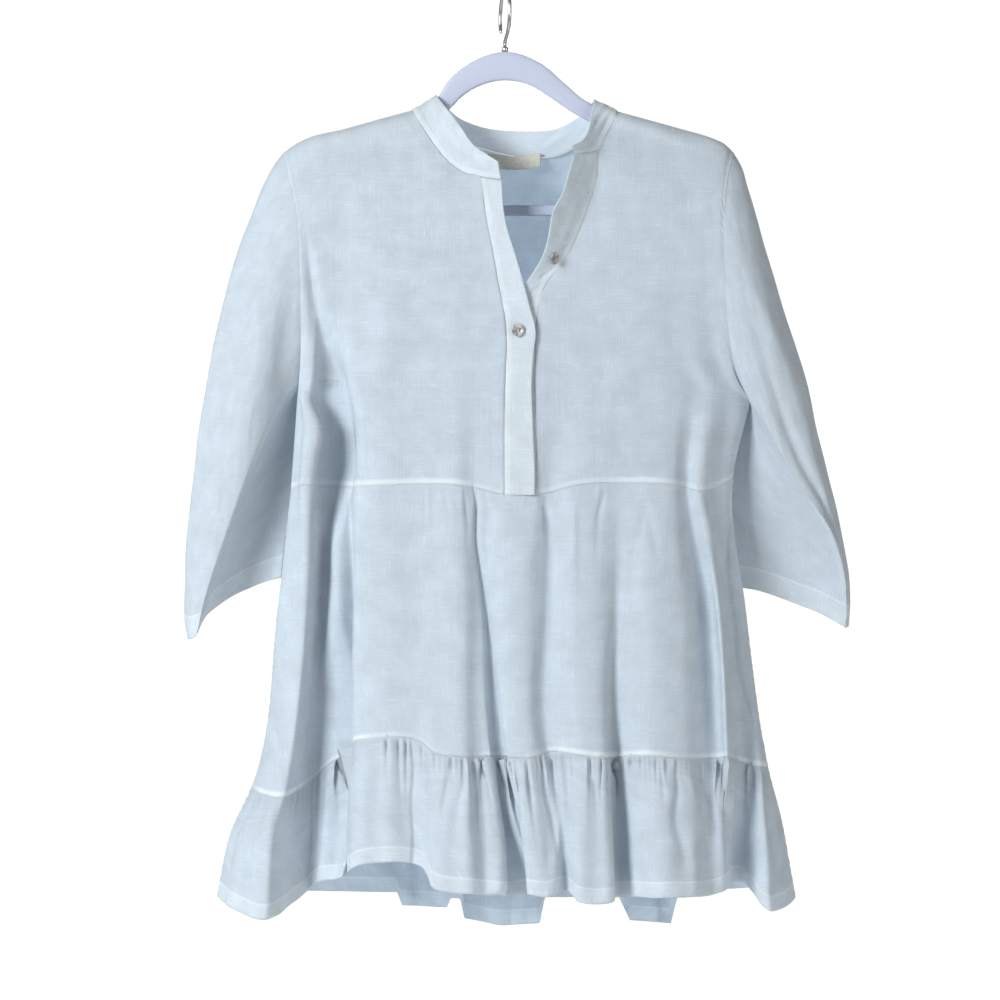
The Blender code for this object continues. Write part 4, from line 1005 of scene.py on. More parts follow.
def cloth(name, grid, outward, seams, hem_deep=0.0, ring=False, level="", double_and_painted_light=None, seed=1):
    """A thin cloth shell whose outer face is the grid, already in place.

    seams gives each sewn edge its pale width and strength. A bottom edge with hem_deep is turned up that far
    and stitched. The weave runs along the grid, with its weft level if level says "weft", and straight down
    and across if level says "both".
    """
    rows, columns = grid.shape[:2]
    normal = normals(grid, ring, outward)
    closed = closed_up(grid, ring)
    across, down = ways(closed, 1), ways(closed, 0)
    middle = closed.shape[1] // 2
    u = across - across[:, middle : middle + 1]
    v = down - down[-1:]
    if level:
        v = closed[..., 2]
    if level == "both":
        u = closed[..., 0]
    away = from_edges(grid, ring)
    far = np.full((rows, columns), FAR)
    seam, ratio, pale = far.copy(), far.copy(), 0 * far
    for number, (side, (wide, strength)) in enumerate(seams.items()):
        way = away[side]
        along_edge = down if side in ("left", "right") else across
        uneven = 0.62 + 0.5 * lattice(along_edge[:, :columns], 0 * way, 37, 9, seed + number)
        nearer = way / wide < ratio
        ratio = np.where(nearer, way / wide, ratio)
        pale = np.where(nearer, strength * uneven, pale)
        seam = np.minimum(seam, way)
    quads, corners = grid_faces(rows, columns, ring)
    uvs = np.stack([u[corners[..., 0], corners[..., 1]], v[corners[..., 0], corners[..., 1]]], axis=-1)
    cells = np.cross(grid[:-1, 1:] - grid[:-1, :-1], grid[1:, :-1] - grid[:-1, :-1])
    if (cells * normal[:-1, :-1]).sum() < 0:
        quads, uvs = quads[:, ::-1], uvs[:, ::-1]
    numbers = {
        "seam_mm": seam,
        "seam_ratio": ratio,
        "seam_pale": pale,
        "hem_mm": away["bottom"] - hem_deep if hem_deep else far,
        # Painted light of the hanger behind the cloth, which makes the colour paler there.
        "double_and_painted_light": 0 * far if double_and_painted_light is None else double_and_painted_light,
    }
    made = LINEN_BACK if outward is BACK else LINEN
    obj = add(name, grid.reshape(-1, 3), quads.tolist(), made, uvs.reshape(-1, 2), numbers)
    thicken(obj, -1)
    return obj


def puckers(grid, sides, seed, pitch=7.0, tall=0.4, reach=7.0):
    """The small ripples that a seam draws into the cloth beside it."""
    away = from_edges(grid)
    total = np.zeros(grid.shape[:2])
    for number, side in enumerate(sides):
        other = "top" if side in ("left", "right") else "left"
        along_edge = away[other]
        drift = lattice(along_edge, 0 * along_edge, 24, 9, seed + number)
        ripple = np.sin(math.tau * (along_edge / pitch + 1.4 * drift))
        size = np.clip(0.6 + 0.7 * lattice(along_edge, 0 * along_edge, 41, 9, seed + number + 5), 0, 1.4)
        way = away[side]
        total += tall * size * (ripple * np.clip(way / 2.5, 0, 1) - 0.4) * np.exp(-((way / reach) ** 2))
    return total


def painted_hanger_light(grid):
    """Painted light: how pale the cloth is painted where the hanger lies behind it, a faint pale shape as if
    the hanger showed through the cloth in front of it.
    """
    across, down = on_drawing(grid)
    total = np.zeros(across.shape)
    for (a, tall), (b, _) in zip(HANGER, HANGER[1:] + HANGER[:1]):
        away = beside(across, down, a, b)[1] * SQUARE
        total = np.maximum(total, np.clip((tall / 2 + 1.5 - away) / 3, 0, 1))
    return HANGER_LIGHT_PAINTED * total


def wrinkles(grid, ring, seed, tall, fine=0.16, drop=2.2):
    """Small soft unevenness that any hung linen has, in millimetres, longer down the cloth than across."""
    across, down = ways(grid, 1), ways(grid, 0)
    u = across - across[:, :1].mean()
    big, middle, little = WRINKLES
    big = lattice(u, down, big, big * drop, seed)
    middle = lattice(u + 0.3 * down, down, middle, middle * drop, seed + 1)
    little = lattice(u, down, little, little * drop, seed + 2)
    total = tall * big + 0.45 * tall * middle + fine * little
    if ring:
        total *= np.clip(np.minimum(u, u[:, -1:] - u) / 25, 0, 1)
    return total


def edge_mask(grid, sides, wide):
    """1 inside and 0 at the named edges, rising over wide millimetres."""
    away = from_edges(grid)
    mask = np.ones(grid.shape[:2])
    for side in sides:
        mask *= ease(np.clip(away[side] / wide, 0, 1))
    return mask


def dressed(grid, outward, heights, ring=False):
    """The grid moved out along its normals by heights, then placed at its depth."""
    return place(grid + heights[..., None] * normals(grid, ring, outward))


def offset_line(grid, outward, side, distance, ring=False):
    """A line at a distance from one edge of the grid, lifted off it for stitches, and its normals."""
    normal = normals(grid, ring, outward)
    if side in ("left", "right"):
        grid, normal = grid.swapaxes(0, 1), normal.swapaxes(0, 1)
    if side in ("right", "bottom"):
        grid, normal = grid[::-1], normal[::-1]
    way = ways(grid, 0)
    points, facing = [], []
    for c in range(grid.shape[1]):
        at = np.interp(distance, way[:, c], np.arange(len(grid)))
        i = min(int(at), len(grid) - 2)
        f = at - i
        points.append((1 - f) * grid[i, c] + f * grid[i + 1, c])
        facing.append((1 - f) * normal[i, c] + f * normal[i + 1, c])
    points, facing = np.array(points), np.array(facing)
    return points + STITCH_LIFT * facing, facing


def stitches(name, rows):
    """Rows of small rounded stitches that lie along lines on the cloth, joined in one mesh."""
    sides = 5
    shape = ((0.0, 0.35), (0.22, 1.0), (0.78, 1.0), (1.0, 0.35))
    angle = np.arange(sides) * math.tau / sides
    points, faces = [], []
    for path, facing in rows:
        way = np.concatenate([[0], np.cumsum(np.linalg.norm(np.diff(path, axis=0), axis=1))])
        for start in np.arange(STITCH_APART / 2, way[-1] - STITCH_LONG, STITCH_APART):
            faces += tube_faces(len(points), len(shape), sides)
            for part, wide in shape:
                at = start + part * STITCH_LONG
                centre = np.array([np.interp(at, way, path[:, k]) for k in range(3)])
                ahead = np.array([np.interp(at + 0.4, way, path[:, k]) for k in range(3)])
                up = np.array([np.interp(at, way, facing[:, k]) for k in range(3)])
                run = unit(ahead - centre)
                aside = unit(np.cross(run, up))
                up = np.cross(aside, run)
                sink = STITCH_ENDS if wide < 1 else 0.0
                for a in angle:
                    ring = math.cos(a) * aside + 0.7 * math.sin(a) * up
                    points.append(centre + STITCH_THICK / 2 * wide * ring - sink * up)
    return add(name, points, faces, THREADS)


def front_bodice(places, shoulder, armhole_seam, neck, placket):
    """One front, from the shoulder to the waist, its columns from the side to the placket."""
    at = finer(places, FINE)
    parts = np.concatenate([NEAR_SHOULDER, np.linspace(BELOW_SHOULDER, 1, FRONT_ROWS[0])])
    row_at = np.interp(parts, ROWS, np.arange(len(ROWS)))
    inner = np.concatenate([along(neck, NECK_ROWS), line(placket, len(ROWS) - len(NECK_ROWS) + 1)[1:]])
    inner = through(inner, row_at)
    side = armhole(armhole_seam, parts, -1)
    weight = np.clip(np.minimum(np.arange(len(at)), np.arange(len(at))[::-1]) / FINE, 0, 1)
    upper = patch(line(shoulder, len(at)), round_body([CHEST], at)[0], side, inner, parts)
    upper = over_shoulder(upper, weight, -1)
    lower = round_body(np.linspace(CHEST, WAIST, FRONT_ROWS[1]), at)
    return side_of(np.concatenate([upper[:-1], lower]), -1)


def back_bodice(at):
    """The back, between both armholes, from the shoulders and the neck to the waist."""
    wide = len(at) // 4
    shoulders = line(SHOULDER_LEFT, wide + 1), line(SHOULDER_RIGHT[::-1], wide + 1)
    neck = line(NECK_BACK[::-1], len(at) - 2 * wide)
    top = np.concatenate([shoulders[0], neck[1:-1], shoulders[1]])
    weight = np.zeros(len(at))
    ramp_up = np.clip(np.arange(wide + 1) / 6, 0, 1)
    weight[: wide + 1] = ramp_up
    weight[-wide - 1 :] = ramp_up[::-1]
    parts = np.concatenate([NEAR_SHOULDER, np.linspace(BELOW_SHOULDER, 1, BACK_ROWS[0])])
    sides = [armhole(seam, parts, 1) for seam in (ARMHOLE_LEFT, ARMHOLE_RIGHT)]
    upper = patch(top, round_body([CHEST], at)[0], *sides, parts)
    upper = over_shoulder(upper, weight, 1)
    lower = round_body(np.linspace(CHEST, WAIST, BACK_ROWS[1]), at)
    return side_of(np.concatenate([upper[:-1], lower]), 1)


def gathers(grid, seed, pitch, tall, reach):
    """Uneven little gathers that hang from the top edge and fade out over reach."""
    across, down = ways(grid, 1), ways(grid, 0)
    u = across[0][None] + 0 * down
    rng = np.random.default_rng(seed)
    total = np.zeros(grid.shape[:2])
    for share in GATHER_SHARES:
        drift = 0.5 * lattice(u, u * 0, 40, 40, seed + int(100 * share))
        total += np.sin(math.tau * (u / (pitch * share) + drift) + rng.uniform(0, math.tau)) / 1.7
    sizes = 0.6 + 0.5 * lattice(u, u * 0, 28, 40, seed + 7)
    lengths = reach * (0.7 + 0.5 * lattice(u, u * 0, 19, 40, seed + 9))
    rise = np.clip(down / 6, 0, 1)
    return tall * total * sizes * rise * np.exp(-((down / lengths) ** 1.3))


def ruffle(skirt_places, waves, outward, seed):
    """The gathered tier under the skirt, and the places of its columns. Its waves grow below its top row."""
    first, last = skirt_places[0], skirt_places[-1]
    brim = round_body([BRIM], np.linspace(first, last, RUFFLE_SAMPLES))[0]
    at = first + (last - first) * evenly(brim, waves * RUFFLE_FINE + 1) / (RUFFLE_SAMPLES - 1)
    levels = np.concatenate([RUFFLE_TOP, np.linspace(RUFFLE_FROM, LOWEST, RUFFLE_ROWS)])
    grid = round_body(levels, at)
    normal = normals(grid, False, outward)
    s = np.linspace(0, 1, len(at))
    ends = np.clip(np.minimum(s, 1 - s) * 18, 0, 1)
    wave = np.sin(2 * math.pi * waves * s + 1.1 * np.sin(14 * s)) * (0.75 + 0.25 * np.sin(31 * s))
    depth = RUFFLE_DEPTH * np.interp(levels, *np.array(RUFFLE_SWELL).T)[:, None]
    heights = 0.6 * depth * (wave * ends)[None]
    heights += gathers(grid, seed, 9, 3, 34) * ends[None]
    grid += heights[..., None] * normal
    return side_of(grid, outward[1]), at


def hang_from(grid, at, edge, edge_at, reach=26):
    """Draws the top rows of a grid to the dressed edge that it is sewn to.

    at and edge_at are the places of both in FOLDS.
    """
    target = np.stack([np.interp(at, edge_at, edge[:, k]) for k in range(3)], axis=-1)
    fade = np.clip(1 - np.arange(len(grid)) / reach, 0, 1) ** 2
    return grid + fade[:, None, None] * (target - grid[0])[None]


def tucked(grid, outward, ring=False, deep=2.2, under=0.9):
    """The grid with one more row at its top, tucked under the piece that it is sewn to."""
    row = grid[0] + deep * unit(grid[0] - grid[1]) - under * normals(grid, ring, outward)[0]
    return np.concatenate([row[None], grid])


def ragged_hem(grid):
    """The back's hem drawn to the tabs that show under the front's."""
    across, down = on_drawing(grid[-1])
    target = np.interp(across, *np.array(BACK_HEM, float).T, left=np.nan, right=np.nan)
    drop = np.where(np.isnan(target), 0, target - down) * SQUARE
    out = grid.copy()
    out[..., 2] -= np.linspace(0, 1, len(grid))[:, None] ** 4 * drop
    return out


def sleeve(lines, seam, fullness, flat):
    """One sleeve as a ring of three faces: the front, the part under the fold, and the back."""
    rows, wide, narrow, keep = SLEEVE_ROWS, SLEEVE_WIDE, SLEEVE_NARROW, UNDERARM_STEP
    whole = {side: armhole(seam, np.linspace(0, 1, ARMHOLE_STEPS), side) for side in (-1, 1)}
    top_front = line(whole[-1][:keep], wide + 1)
    top_under = line(np.concatenate([whole[-1][keep - 1 :], whole[1][keep - 1 : -1][::-1]]), narrow + 1)
    top_back = line(whole[1][:keep][::-1], wide + 1)
    outer = line(lines["outer"], rows)
    folded = line((top_front[-1], *lines["fold"][1:]), rows)
    inner = line((top_back[0], *lines["inner"][1:]), rows)
    front = patch(top_front, line(lines["cuff_front"], wide + 1), outer, folded)
    under = patch(top_under, line(lines["cuff_under"], narrow + 1), folded, inner)
    back = patch(top_back, line(lines["cuff_back"], wide + 1), inner, outer)
    t = np.linspace(0, 1, rows)[:, None]
    full = np.sin(math.pi * np.minimum(t * 1.6, 0.5 + t * 0.3))
    s = np.linspace(0, 1, wide + 1)[None]
    front[:, :, 1] -= fullness * (1 - s) * (1 - (1 - s) ** flat) * full
    back[:, :, 1] += SLEEVE_FULL_BACK * np.sin(math.pi * s) * full
    # The part under the fold is hollow, so that its far side turns towards the light again.
    hollow = np.sin(math.pi * np.linspace(0, 1, narrow + 1) ** 0.8)[None] * np.clip(t * 4, 0, 1)
    under[:, :, 1] += SLEEVE_HOLLOW * hollow
    ring = np.concatenate([front[:, :-1], under[:, :-1], back[:, :-1]], axis=1)
    # The ring starts at the fold, where the underarm seam runs.
    ring = np.roll(ring, -wide, axis=1)
    return smooth(ring, 1, True)


def band(name, one, two, outward, thick, fine=0.25, seed=5):
    """A folded double band, rounded at its edges, between two lines. Its outer face is on outward's side."""
    count = BAND_ROWS
    t = np.linspace(0, 1, count)[:, None, None]
    face = (1 - t) * one[None] + t * two[None]
    normal = normals(face, False, outward)
    u, v = ways(face, 1), ways(face, 0)
    rumple = fine * lattice(u, v, 14, 8, seed) + 0.5 * fine * lattice(u, v, 6, 5, seed + 1)
    face = face + (rumple * np.sin(math.pi * np.linspace(0.08, 0.92, count))[:, None])[..., None] * normal
    run = unit(face[-1] - face[0])
    half = thick / 2
    rings = [face[i] for i in range(count)]
    turn = np.radians((60, 20, -20, -60))
    for a in turn:
        rings.append(face[-1] - half * normal[-1] + half * (math.cos(a) * run + math.sin(a) * normal[-1]))
    rings += [face[i] - thick * normal[i] for i in range(count - 1, -1, -1)]
    for a in turn[::-1]:
        rings.append(face[0] - half * normal[0] + half * (-math.cos(a) * run + math.sin(a) * normal[0]))
    loop = place(np.array(rings))
    rows, columns = loop.shape[:2]
    quads, corners = grid_faces(rows, columns, False)
    last = np.arange(columns - 1)
    low = (rows - 1) * columns + last
    closing = np.stack([low, low + 1, last + 1, last], axis=-1)
    flat_u = np.concatenate([ways(loop, 1), ways(loop, 1)[:1]])
    flat_v = np.concatenate([ways(loop, 0), ways(loop, 0)[-1:] + half])
    size = rows * columns
    ends = [tuple(range(0, size, columns)), tuple(range(columns - 1, size, columns))[::-1]]
    at = corners[..., 0], corners[..., 1]
    uvs = np.stack([flat_u[at], flat_v[at]], axis=-1)
    more = np.stack([[rows - 1, rows - 1, rows, rows]] * (columns - 1))
    side = np.stack([last, last + 1, last + 1, last], axis=-1)
    uvs_closing = np.stack([flat_u[more, side], flat_v[more, side]], axis=-1)
    uvs_ends = [[(flat_u[i, e], flat_v[i, e]) for i in range(rows)] for e in (0, -1)]
    all_uvs = [uvs.reshape(-1, 2), uvs_closing.reshape(-1, 2), uvs_ends[0], uvs_ends[1][::-1]]
    faces = quads.tolist() + closing.tolist() + ends
    far = np.full((rows, columns), FAR)
    way = ways(face, 0)
    from_seam = np.concatenate([way, np.repeat(way[-1:], rows - count, axis=0)])
    numbers = {
        "seam_mm": far,
        "seam_ratio": from_seam / BAND_STRIP,
        "seam_pale": far * 0 + BAND_SEAM_PALE,
        "hem_mm": far,
        "double_and_painted_light": far * 0 + BAND_PALE,
    }
    obj = add(name, loop.reshape(-1, 3), faces, LINEN, np.concatenate(all_uvs), numbers)
    face_outward(obj)
    return obj, face


def button(name, centre, facing):
    """A four-hole button with a raised rim, a dished middle and its thread."""
    sides = BUTTON_SIDES
    angle = np.arange(sides) * math.tau / sides
    points = [(0, 0, BUTTON_SECTION[0][1])]
    for r, z in BUTTON_SECTION[1:-1]:
        points += [(r * math.cos(a), r * math.sin(a), z) for a in angle]
    points.append((0, 0, BUTTON_SECTION[-1][1]))
    faces = [(0, 1 + k, 1 + (k + 1) % sides) for k in range(sides)]
    for i in range(len(BUTTON_SECTION) - 3):
        a = 1 + i * sides
        b = a + sides
        faces += [(a + k, b + k, b + (k + 1) % sides, a + (k + 1) % sides) for k in range(sides)]
    a, end = 1 + (len(BUTTON_SECTION) - 3) * sides, len(points) - 1
    faces += [(end, a + (k + 1) % sides, a + k) for k in range(sides)]
    obj = add(name, points, faces, SHELL)
    face_outward(obj)
    holes = [(HOLE_PLACE * sx, HOLE_PLACE * sy) for sx in (-1, 1) for sy in (-1, 1)]
    for x, y in holes:
        bpy.ops.mesh.primitive_cylinder_add(
            vertices=16, radius=HOLE_RADIUS / 1000, depth=HOLE_DEEP / 1000, location=(x / 1000, y / 1000, 0)
        )
        cutter = bpy.context.object
        cut = obj.modifiers.new("hole", "BOOLEAN")
        cut.operation = "DIFFERENCE"
        cut.object = cutter
        bpy.context.view_layer.objects.active = obj
        bpy.ops.object.modifier_apply(modifier=cut.name)
        bpy.data.objects.remove(cutter)
    obj.data.shade_smooth()
    obj.data.set_sharp_from_angle(angle=math.radians(50))
    threads = []
    for one, two in ((0, 3), (1, 2), (0, 3), (2, 1)):
        (x0, y0), (x1, y1) = holes[one], holes[two]
        t = np.linspace(0, 1, 9)
        lift = 0.55 + 0.5 * np.sin(math.pi * t) - 1.2 * (np.abs(2 * t - 1) > 0.9)
        threads.append(np.stack([x0 + (x1 - x0) * t, y0 + (y1 - y0) * t, lift], axis=1))
    thread = tubes(name + "_thread", threads, THREAD, THREADS)
    for made in (obj, thread):
        made.rotation_mode = "QUATERNION"
        made.rotation_quaternion = Vector(facing).to_track_quat("Z", "Y")
        made.location = np.asarray(place(centre)) / 1000
    return obj, thread


def tubes(name, paths, thick, made, sides=8):
    """Round tubes along paths, joined in one mesh and closed at their ends."""
    points, faces = [], []
    angle = np.arange(sides) * math.tau / sides
    for path in paths:
        path = np.asarray(path, float)
        faces += tube_faces(len(points), len(path), sides)
        run = unit(np.gradient(path, axis=0))
        aside = np.cross(run[0], [0.3, 0.2, 1.0])
        radii = np.broadcast_to(np.asarray(thick, float) / 2, len(path))
        for centre, ahead, radius in zip(path, run, radii):
            aside = unit(aside - (aside @ ahead) * ahead)
            up = np.cross(ahead, aside)
            points += [centre + radius * (math.cos(a) * aside + math.sin(a) * up) for a in angle]
    return add(name, points, faces, made)


def label():
    """The bare neck label, bowed and sagging a little."""
    s, t = np.linspace(0, 1, LABEL_COLUMNS)[None, :], np.linspace(0, 1, LABEL_ROWS)[:, None]
    grid = np.zeros((LABEL_ROWS, LABEL_COLUMNS, 3))
    grid[..., 0] = LABEL_LEFT + LABEL_WIDE * s
    grid[..., 1] = LABEL_DEPTH + LABEL_BOW * np.sin(math.pi * s) - LABEL_LEAN * t
    grid[..., 2] = LABEL_TOP - LABEL_TALL * t - LABEL_SAG * np.sin(math.pi * s)
    grid = place(grid)
    quads = grid_faces(LABEL_ROWS, LABEL_COLUMNS, False)[0]
    obj = add("neck_label", grid.reshape(-1, 3), quads.tolist(), TAPE)
    thicken(obj, 0)
    return obj


def hanger():
    """The hanger's arms and bar, one closed loop of rounded sections."""
    centres = drawn(*[row[0] for row in HANGER])
    heights = np.array([row[1] for row in HANGER], float)
    steps = 8 * len(HANGER)
    sides = 28
    ring = np.concatenate([centres[-3:], centres, centres[:3]])
    tall = np.concatenate([heights[-3:], heights, heights[:3]])
    at = 3 + np.arange(steps) * 0.125
    path = through(ring, at)
    height = through(tall[:, None], at)[:, 0]
    run = unit(through(ring, at + 0.05) - through(ring, at - 0.05))
    up = np.stack([-run[:, 2], np.zeros(steps), run[:, 0]], axis=1)
    angle = np.arange(sides) * math.tau / sides
    tall_side = np.sign(np.cos(angle)) * np.abs(np.cos(angle)) ** HANGER_BOXY
    thick_side = np.sign(np.sin(angle)) * np.abs(np.sin(angle)) ** HANGER_BOXY
    sections = height[:, None, None] / 2 * tall_side[None, :, None] * up[:, None]
    sections[..., 1] += HANGER_THICK / 2 * thick_side[None]
    points = (path[:, None] + sections).reshape(-1, 3)
    faces = []
    for i in range(steps):
        j = (i + 1) % steps
        for k in range(sides):
            m = (k + 1) % sides
            faces.append((i * sides + k, i * sides + m, j * sides + m, j * sides + k))
    obj = add("hanger", points, faces, PLASTIC)
    face_outward(obj)
    return obj


def hook():
    """The swivelled wire hook, with the small ferrule that it turns in."""
    flat = line([(w, 0, z) for w, z in HOOK], 120)
    out = flat[:, 0]
    path = np.stack([out * math.cos(HOOK_TURN), -out * math.sin(HOOK_TURN), flat[:, 2]], axis=1)
    foot = path[0]
    collar_rows = [foot + [0, 0, z] for z in (0.0, 0.4, 3.4, 4.0, 4.4)]
    path = np.concatenate([collar_rows, path[path[:, 2] > foot[2] + 5]])
    wide = np.full(len(path), HOOK_WIRE)
    wide[:5] = (FERRULE * 0.93, FERRULE, FERRULE, FERRULE * 0.9, HOOK_WIRE)
    wide[-3:] = (HOOK_WIRE * 0.98, HOOK_WIRE * 0.85, HOOK_WIRE * 0.5)
    return tubes("wire_hook", [path], wide, STEEL, 18)


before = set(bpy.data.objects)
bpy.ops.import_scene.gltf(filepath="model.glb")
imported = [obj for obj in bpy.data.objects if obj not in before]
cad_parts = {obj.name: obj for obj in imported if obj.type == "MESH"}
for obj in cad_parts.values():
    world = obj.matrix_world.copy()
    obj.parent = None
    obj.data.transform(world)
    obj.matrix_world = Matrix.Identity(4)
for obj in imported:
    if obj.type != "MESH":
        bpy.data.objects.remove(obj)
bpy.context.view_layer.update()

LINEN = linen_material("linen_cloth", FRONT_LETS_THROUGH)
LINEN_BACK = linen_material("linen_back_cloth", BACK_LETS_THROUGH)
PLASTIC = plastic_material()
STEEL = steel_material()
SHELL = button_material()
TAPE = tape_material()
THREADS = thread_material()
FRONT, BACK = np.array([0, -1, 0]), np.array([0, 1, 0])


def finish_piece(obj, slot, *nodes):
    """Attaches a piece to the root body and hides the solids that it stands for; slot is not used."""
    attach(obj, "root")
    if nodes:
        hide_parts(*nodes)


def main():
    side, size = list(FOLDS).index("side_left"), len(FOLDS)
    thread_rows = []
    # The dressed edges that the skirt and the ruffle hang from, with their places in FOLDS.
    waist_edges = {"skirt_front": [], "skirt_back": []}
    tier_edges = {}

    def stitched(grid, outward, edge, distance, ring=False):
        thread_rows.append(offset_line(grid, outward, edge, distance, ring))

    fronts = (
        ("right", PLACES_RIGHT, SHOULDER_RIGHT, ARMHOLE_RIGHT, NECK_RIGHT, PLACKET_SEAM_RIGHT, 11),
        ("left", PLACES_LEFT, SHOULDER_LEFT, ARMHOLE_LEFT, NECK_LEFT, PLACKET_SEAM_LEFT, 23),
    )
    all_sides = ("left", "right", "top", "bottom")
    for hand, places, shoulder, seam, neck, placket, seed in fronts:
        name = "bodice_front_" + hand
        grid = front_bodice(places, shoulder, seam, neck, placket)
        heights = wrinkles(grid, False, seed, 0.6) * edge_mask(grid, all_sides, 14)
        heights += crease_heights(grid, FRONT_CREASES) * edge_mask(grid, ("left", "right", "top"), 12)
        heights += puckers(grid, ("left", "bottom"), seed)
        grid = dressed(grid, FRONT, heights)
        order = np.argsort(finer(places, FINE))
        waist_edges["skirt_front"].append((finer(places, FINE)[order], grid[-1][order]))
        seams = {"left": ARMHOLE_SEAM, "top": SHOULDER_SEAM, "right": PLAIN_SEAM, "bottom": WAIST_SEAM}
        # The cloth is painted paler where the hanger lies behind it: painted light.
        obj = cloth(name + "_cloth", grid, FRONT, seams, level="both", double_and_painted_light=painted_hanger_light(grid), seed=seed)
        finish_piece(obj, "linen", name)

    around = np.linspace(side, size, (size - side) * BACK_FINE + 1)
    grid = back_bodice(around)
    heights = wrinkles(grid, False, 37, 0.9) * edge_mask(grid, all_sides, 14)
    heights += crease_heights(grid, BACK_CREASES) * edge_mask(grid, ("left", "right", "top"), 12)
    heights += puckers(grid, ("left", "right", "bottom"), 39)
    grid = dressed(grid, BACK, heights)
    waist_edges["skirt_back"].append((around, grid[-1]))
    seams = {"left": ARMHOLE_SEAM, "right": ARMHOLE_SEAM, "top": SHOULDER_SEAM, "bottom": WAIST_SEAM}
    # The cloth is painted paler where the hanger lies behind it: painted light.
    obj = cloth("bodice_back_cloth", grid, BACK, seams, level="both", double_and_painted_light=painted_hanger_light(grid), seed=37)
    finish_piece(obj, "linen", "bodice_back")

    middle = np.linspace(9, 10, 2 * FINE)[1:-1]
    across = np.concatenate([finer(PLACES_RIGHT, FINE), middle, finer(PLACES_LEFT, FINE)[::-1]])
    for name, places, outward, creases, seed in (
        ("skirt_front", across, FRONT, FRONT_CREASES, 41),
        ("skirt_back", around, BACK, BACK_CREASES, 53),
    ):
        grid = side_of(round_body(np.linspace(WAIST, TIER, SKIRT_ROWS), places), outward[1])
        heights = wrinkles(grid, False, seed, 0.7, drop=3.5) + gathers(grid, seed, 11, 0.4, 32)
        heights *= edge_mask(grid, all_sides, 8)
        heights += crease_heights(grid, creases) * edge_mask(grid, ("left", "right"), 6)
        heights += puckers(grid, all_sides, seed)
        grid = dressed(grid, outward, heights)
        for edge_at, edge in waist_edges[name]:
            inside = (places >= edge_at[0]) & (places <= edge_at[-1])
            grid[:, inside] = hang_from(grid[:, inside], places[inside], edge, edge_at)
        tier_edges[name] = grid[-1]
        grid = tucked(grid, outward)
        seams = {"left": SIDE_SEAM, "right": SIDE_SEAM, "top": PLAIN_SEAM, "bottom": TIER_SEAM}
        obj = cloth(name + "_cloth", grid, outward, seams, level="weft", seed=seed)
        finish_piece(obj, "linen", name)

    for name, skirt, places, waves, outward, creases, seed in (
        ("ruffle_front", "skirt_front", across, RUFFLE_WAVES_FRONT, FRONT, FRONT_CREASES, 61),
        ("ruffle_back", "skirt_back", around, RUFFLE_WAVES_BACK, BACK, BACK_CREASES, 71),
    ):
        grid, at = ruffle(places, waves, outward, seed)
        if outward is BACK:
            grid = ragged_hem(grid)
        heights = wrinkles(grid, False, seed, 0.6, drop=3) * edge_mask(grid, ("left", "right", "top"), 8)
        heights += crease_heights(grid, creases) * edge_mask(grid, ("left", "right"), 6)
        heights += puckers(grid, ("left", "right", "bottom"), seed)
        grid = dressed(grid, outward, heights)
        grid = tucked(hang_from(grid, at, tier_edges[skirt], places, RUFFLE_REACH), outward)
        seams = {"left": SIDE_SEAM, "right": SIDE_SEAM, "top": PLAIN_SEAM}
        obj = cloth(name + "_cloth", grid, outward, seams, HEM, level="weft", seed=seed)
        finish_piece(obj, "linen", name)
        stitched(grid, outward, "bottom", HEM - HEM_STITCH)

    for name, lines, seam, seed in (
        ("sleeve_right", SLEEVE_RIGHT, ARMHOLE_RIGHT, 83),
        ("sleeve_left", SLEEVE_LEFT, ARMHOLE_LEFT, 97),
    ):
        grid = sleeve(lines, seam, *SLEEVE_FRONT[name])
        outward = grid - grid.mean(axis=1, keepdims=True)
        heights = wrinkles(grid, True, seed, 0.8) * edge_mask(grid, ("top",), 14)
        heights += crease_heights(grid, SLEEVE_CREASES[name]) * edge_mask(grid, ("top",), 10)
        heights += puckers(grid, ("top", "bottom"), seed)
        grid = dressed(grid, outward, heights, True)
        outward = grid - grid.mean(axis=1, keepdims=True)
        grid = tucked(grid, outward, True)
        outward = grid - grid.mean(axis=1, keepdims=True)
        seams = {"top": ARMHOLE_SEAM, "left": SIDE_SEAM}
        obj = cloth(name + "_cloth", grid, outward, seams, CUFF_HEM, True, seed=seed)
        finish_piece(obj, "linen", name)
        stitched(grid, outward, "bottom", CUFF_HEM - HEM_STITCH, True)

    lower, upper = np.moveaxis(drawn(*COLLAR), 1, 0)
    at = np.linspace(0, len(COLLAR) - 1, 12 * len(COLLAR))
    low, high = through(lower, at), through(upper, at)
    middle = np.array([COLLAR_MIDDLE_X, 0, 0])
    out = (low - middle) * [1, 1, 0]
    outward = np.broadcast_to(out, (BAND_ROWS, *out.shape))
    obj, face = band("collar_cloth", low, high, outward, BAND, 0.9, 3)
    finish_piece(obj, "linen", "collar_band")
    for edge in ("bottom", "top"):
        stitched(place(face), outward, edge, BAND_STITCH)

    seam = (*PLACKET_SEAM_RIGHT, *OVER_SEAM_LOW)
    obj, face = band("placket_over_cloth", line(seam, 130), line(OVER_EDGE, 130), FRONT, BAND, 0.4, 9)
    finish_piece(obj, "linen", "placket_over")
    for edge in ("bottom", "top"):
        stitched(place(face), FRONT, edge, BAND_STITCH)
    seam = (*PLACKET_SEAM_LEFT, *UNDER_SEAM_LOW)
    obj, face = band("placket_under_cloth", line(seam, 150), line(UNDER_EDGE, 150), FRONT, BAND, 0.9, 15)
    finish_piece(obj, "linen", "placket_under")

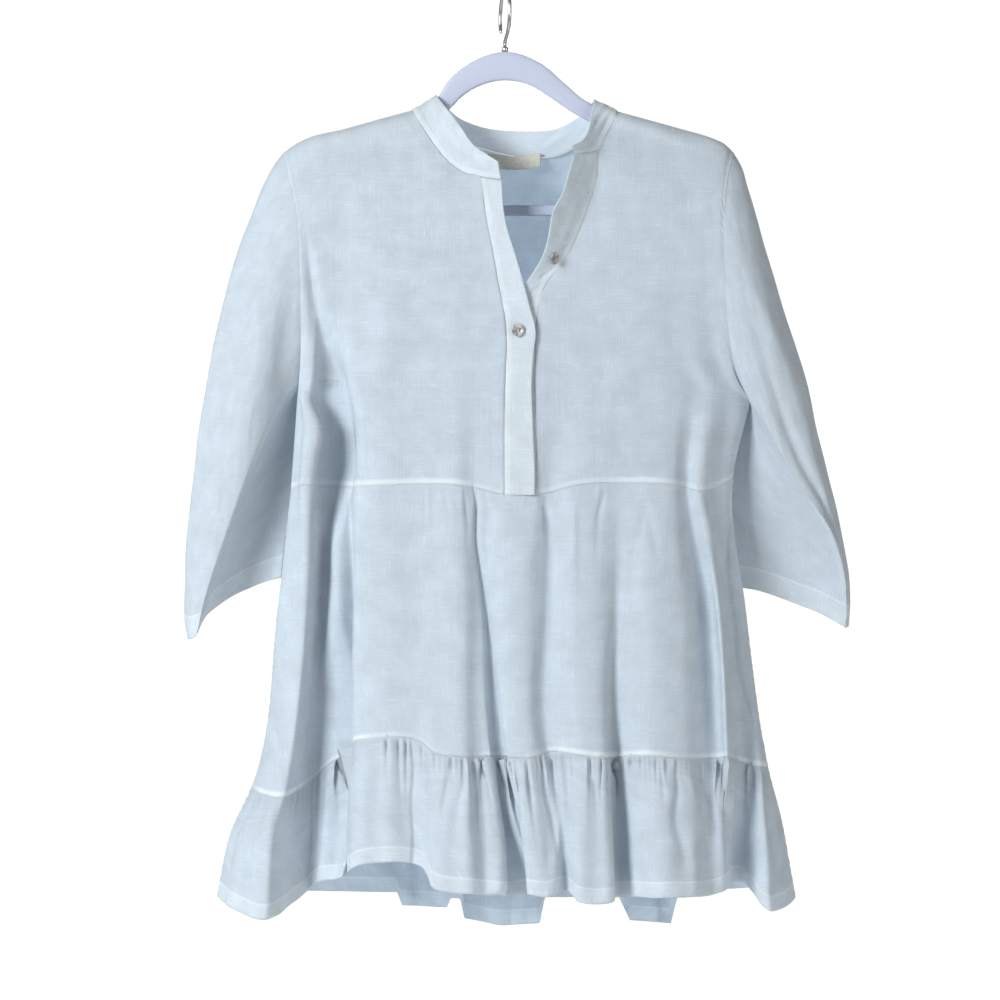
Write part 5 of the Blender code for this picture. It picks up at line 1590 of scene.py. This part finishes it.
    buttons = (("button_1", BUTTON_1, (0, -1, 0)), ("button_2", BUTTON_2, (0.8, -0.6, -0.1)))
    for name, centre, facing in buttons:
        obj, thread = button(name + "_shell", centre, facing)
        finish_piece(obj, "button_shell", name)
        finish_piece(thread, "linen")
    finish_piece(label(), "label_tape", "label")
    finish_piece(hanger(), "hanger_plastic", "hanger_body")
    finish_piece(hook(), "hook_steel", "hanger_hook")
    finish_piece(stitches("stitching", thread_rows), "linen")


main()


def area_light(name, place_at, aim, size, power, colour):
    data = bpy.data.lights.new(name, "AREA")
    data.size = size
    data.energy = power
    data.color = colour
    obj = bpy.data.objects.new(name, data)
    bpy.context.scene.collection.objects.link(obj)
    obj.location = place_at
    obj.rotation_mode = "QUATERNION"
    obj.rotation_quaternion = (Vector(aim) - Vector(place_at)).to_track_quat("-Z", "Y")


FLOOR_RADIUS = 1.75
FLOOR_LEVEL = -1.32
bpy.ops.mesh.primitive_circle_add(
    vertices=96, radius=FLOOR_RADIUS, fill_type="NGON", location=(0, 0, FLOOR_LEVEL)
)
floor = bpy.context.object
floor.name = "floor"
floor.data.materials.append(material("pale_floor", (0.9, 0.9, 0.9), 0.9))

# Each light's place and aim in metres, its size, its power in watts and its colour.
TARGET = (0.0, 0.0, -0.48)
area_light("key", (-2.0, -1.9, 0.35), TARGET, 0.9, 88, (0.96, 0.99, 1.0))
area_light("fill", (2.2, -1.9, -0.1), TARGET, 2.0, 28, (1.0, 0.99, 0.95))
area_light("back", (0.2, 2.2, 0.8), TARGET, 2.0, 82, (0.96, 0.99, 1.0))

world = bpy.data.worlds.new("studio")
bpy.context.scene.world = world
world.use_nodes = True
tree = world.node_tree
background = tree.nodes["Background"]
background.inputs["Color"].default_value = (1.0, 0.99, 0.92, 1)
# The studio's walls light the top softly and look white behind it.
WORLD_LIGHT = 0.18
WORLD_SEEN = 1.1
seen = tree.nodes.new("ShaderNodeLightPath").outputs["Is Camera Ray"]
tree.links.new(ramp(tree, seen, 0, 1, WORLD_LIGHT, WORLD_SEEN), background.inputs["Strength"])
bpy.context.scene.view_settings.view_transform = "Standard"

camera = bpy.data.objects.new("camera", bpy.data.cameras.new("camera"))
camera.data.lens = SENSOR * EYE_DISTANCE / VIEW_WIDE
camera.data.sensor_width = SENSOR
camera.data.clip_start, camera.data.clip_end = 0.05, 20
camera.location = (EYE_X / 1000, -EYE_DISTANCE / 1000, EYE_Z / 1000)
camera.rotation_euler = (math.radians(90), 0, 0)
bpy.context.scene.collection.objects.link(camera)
bpy.context.scene.camera = camera
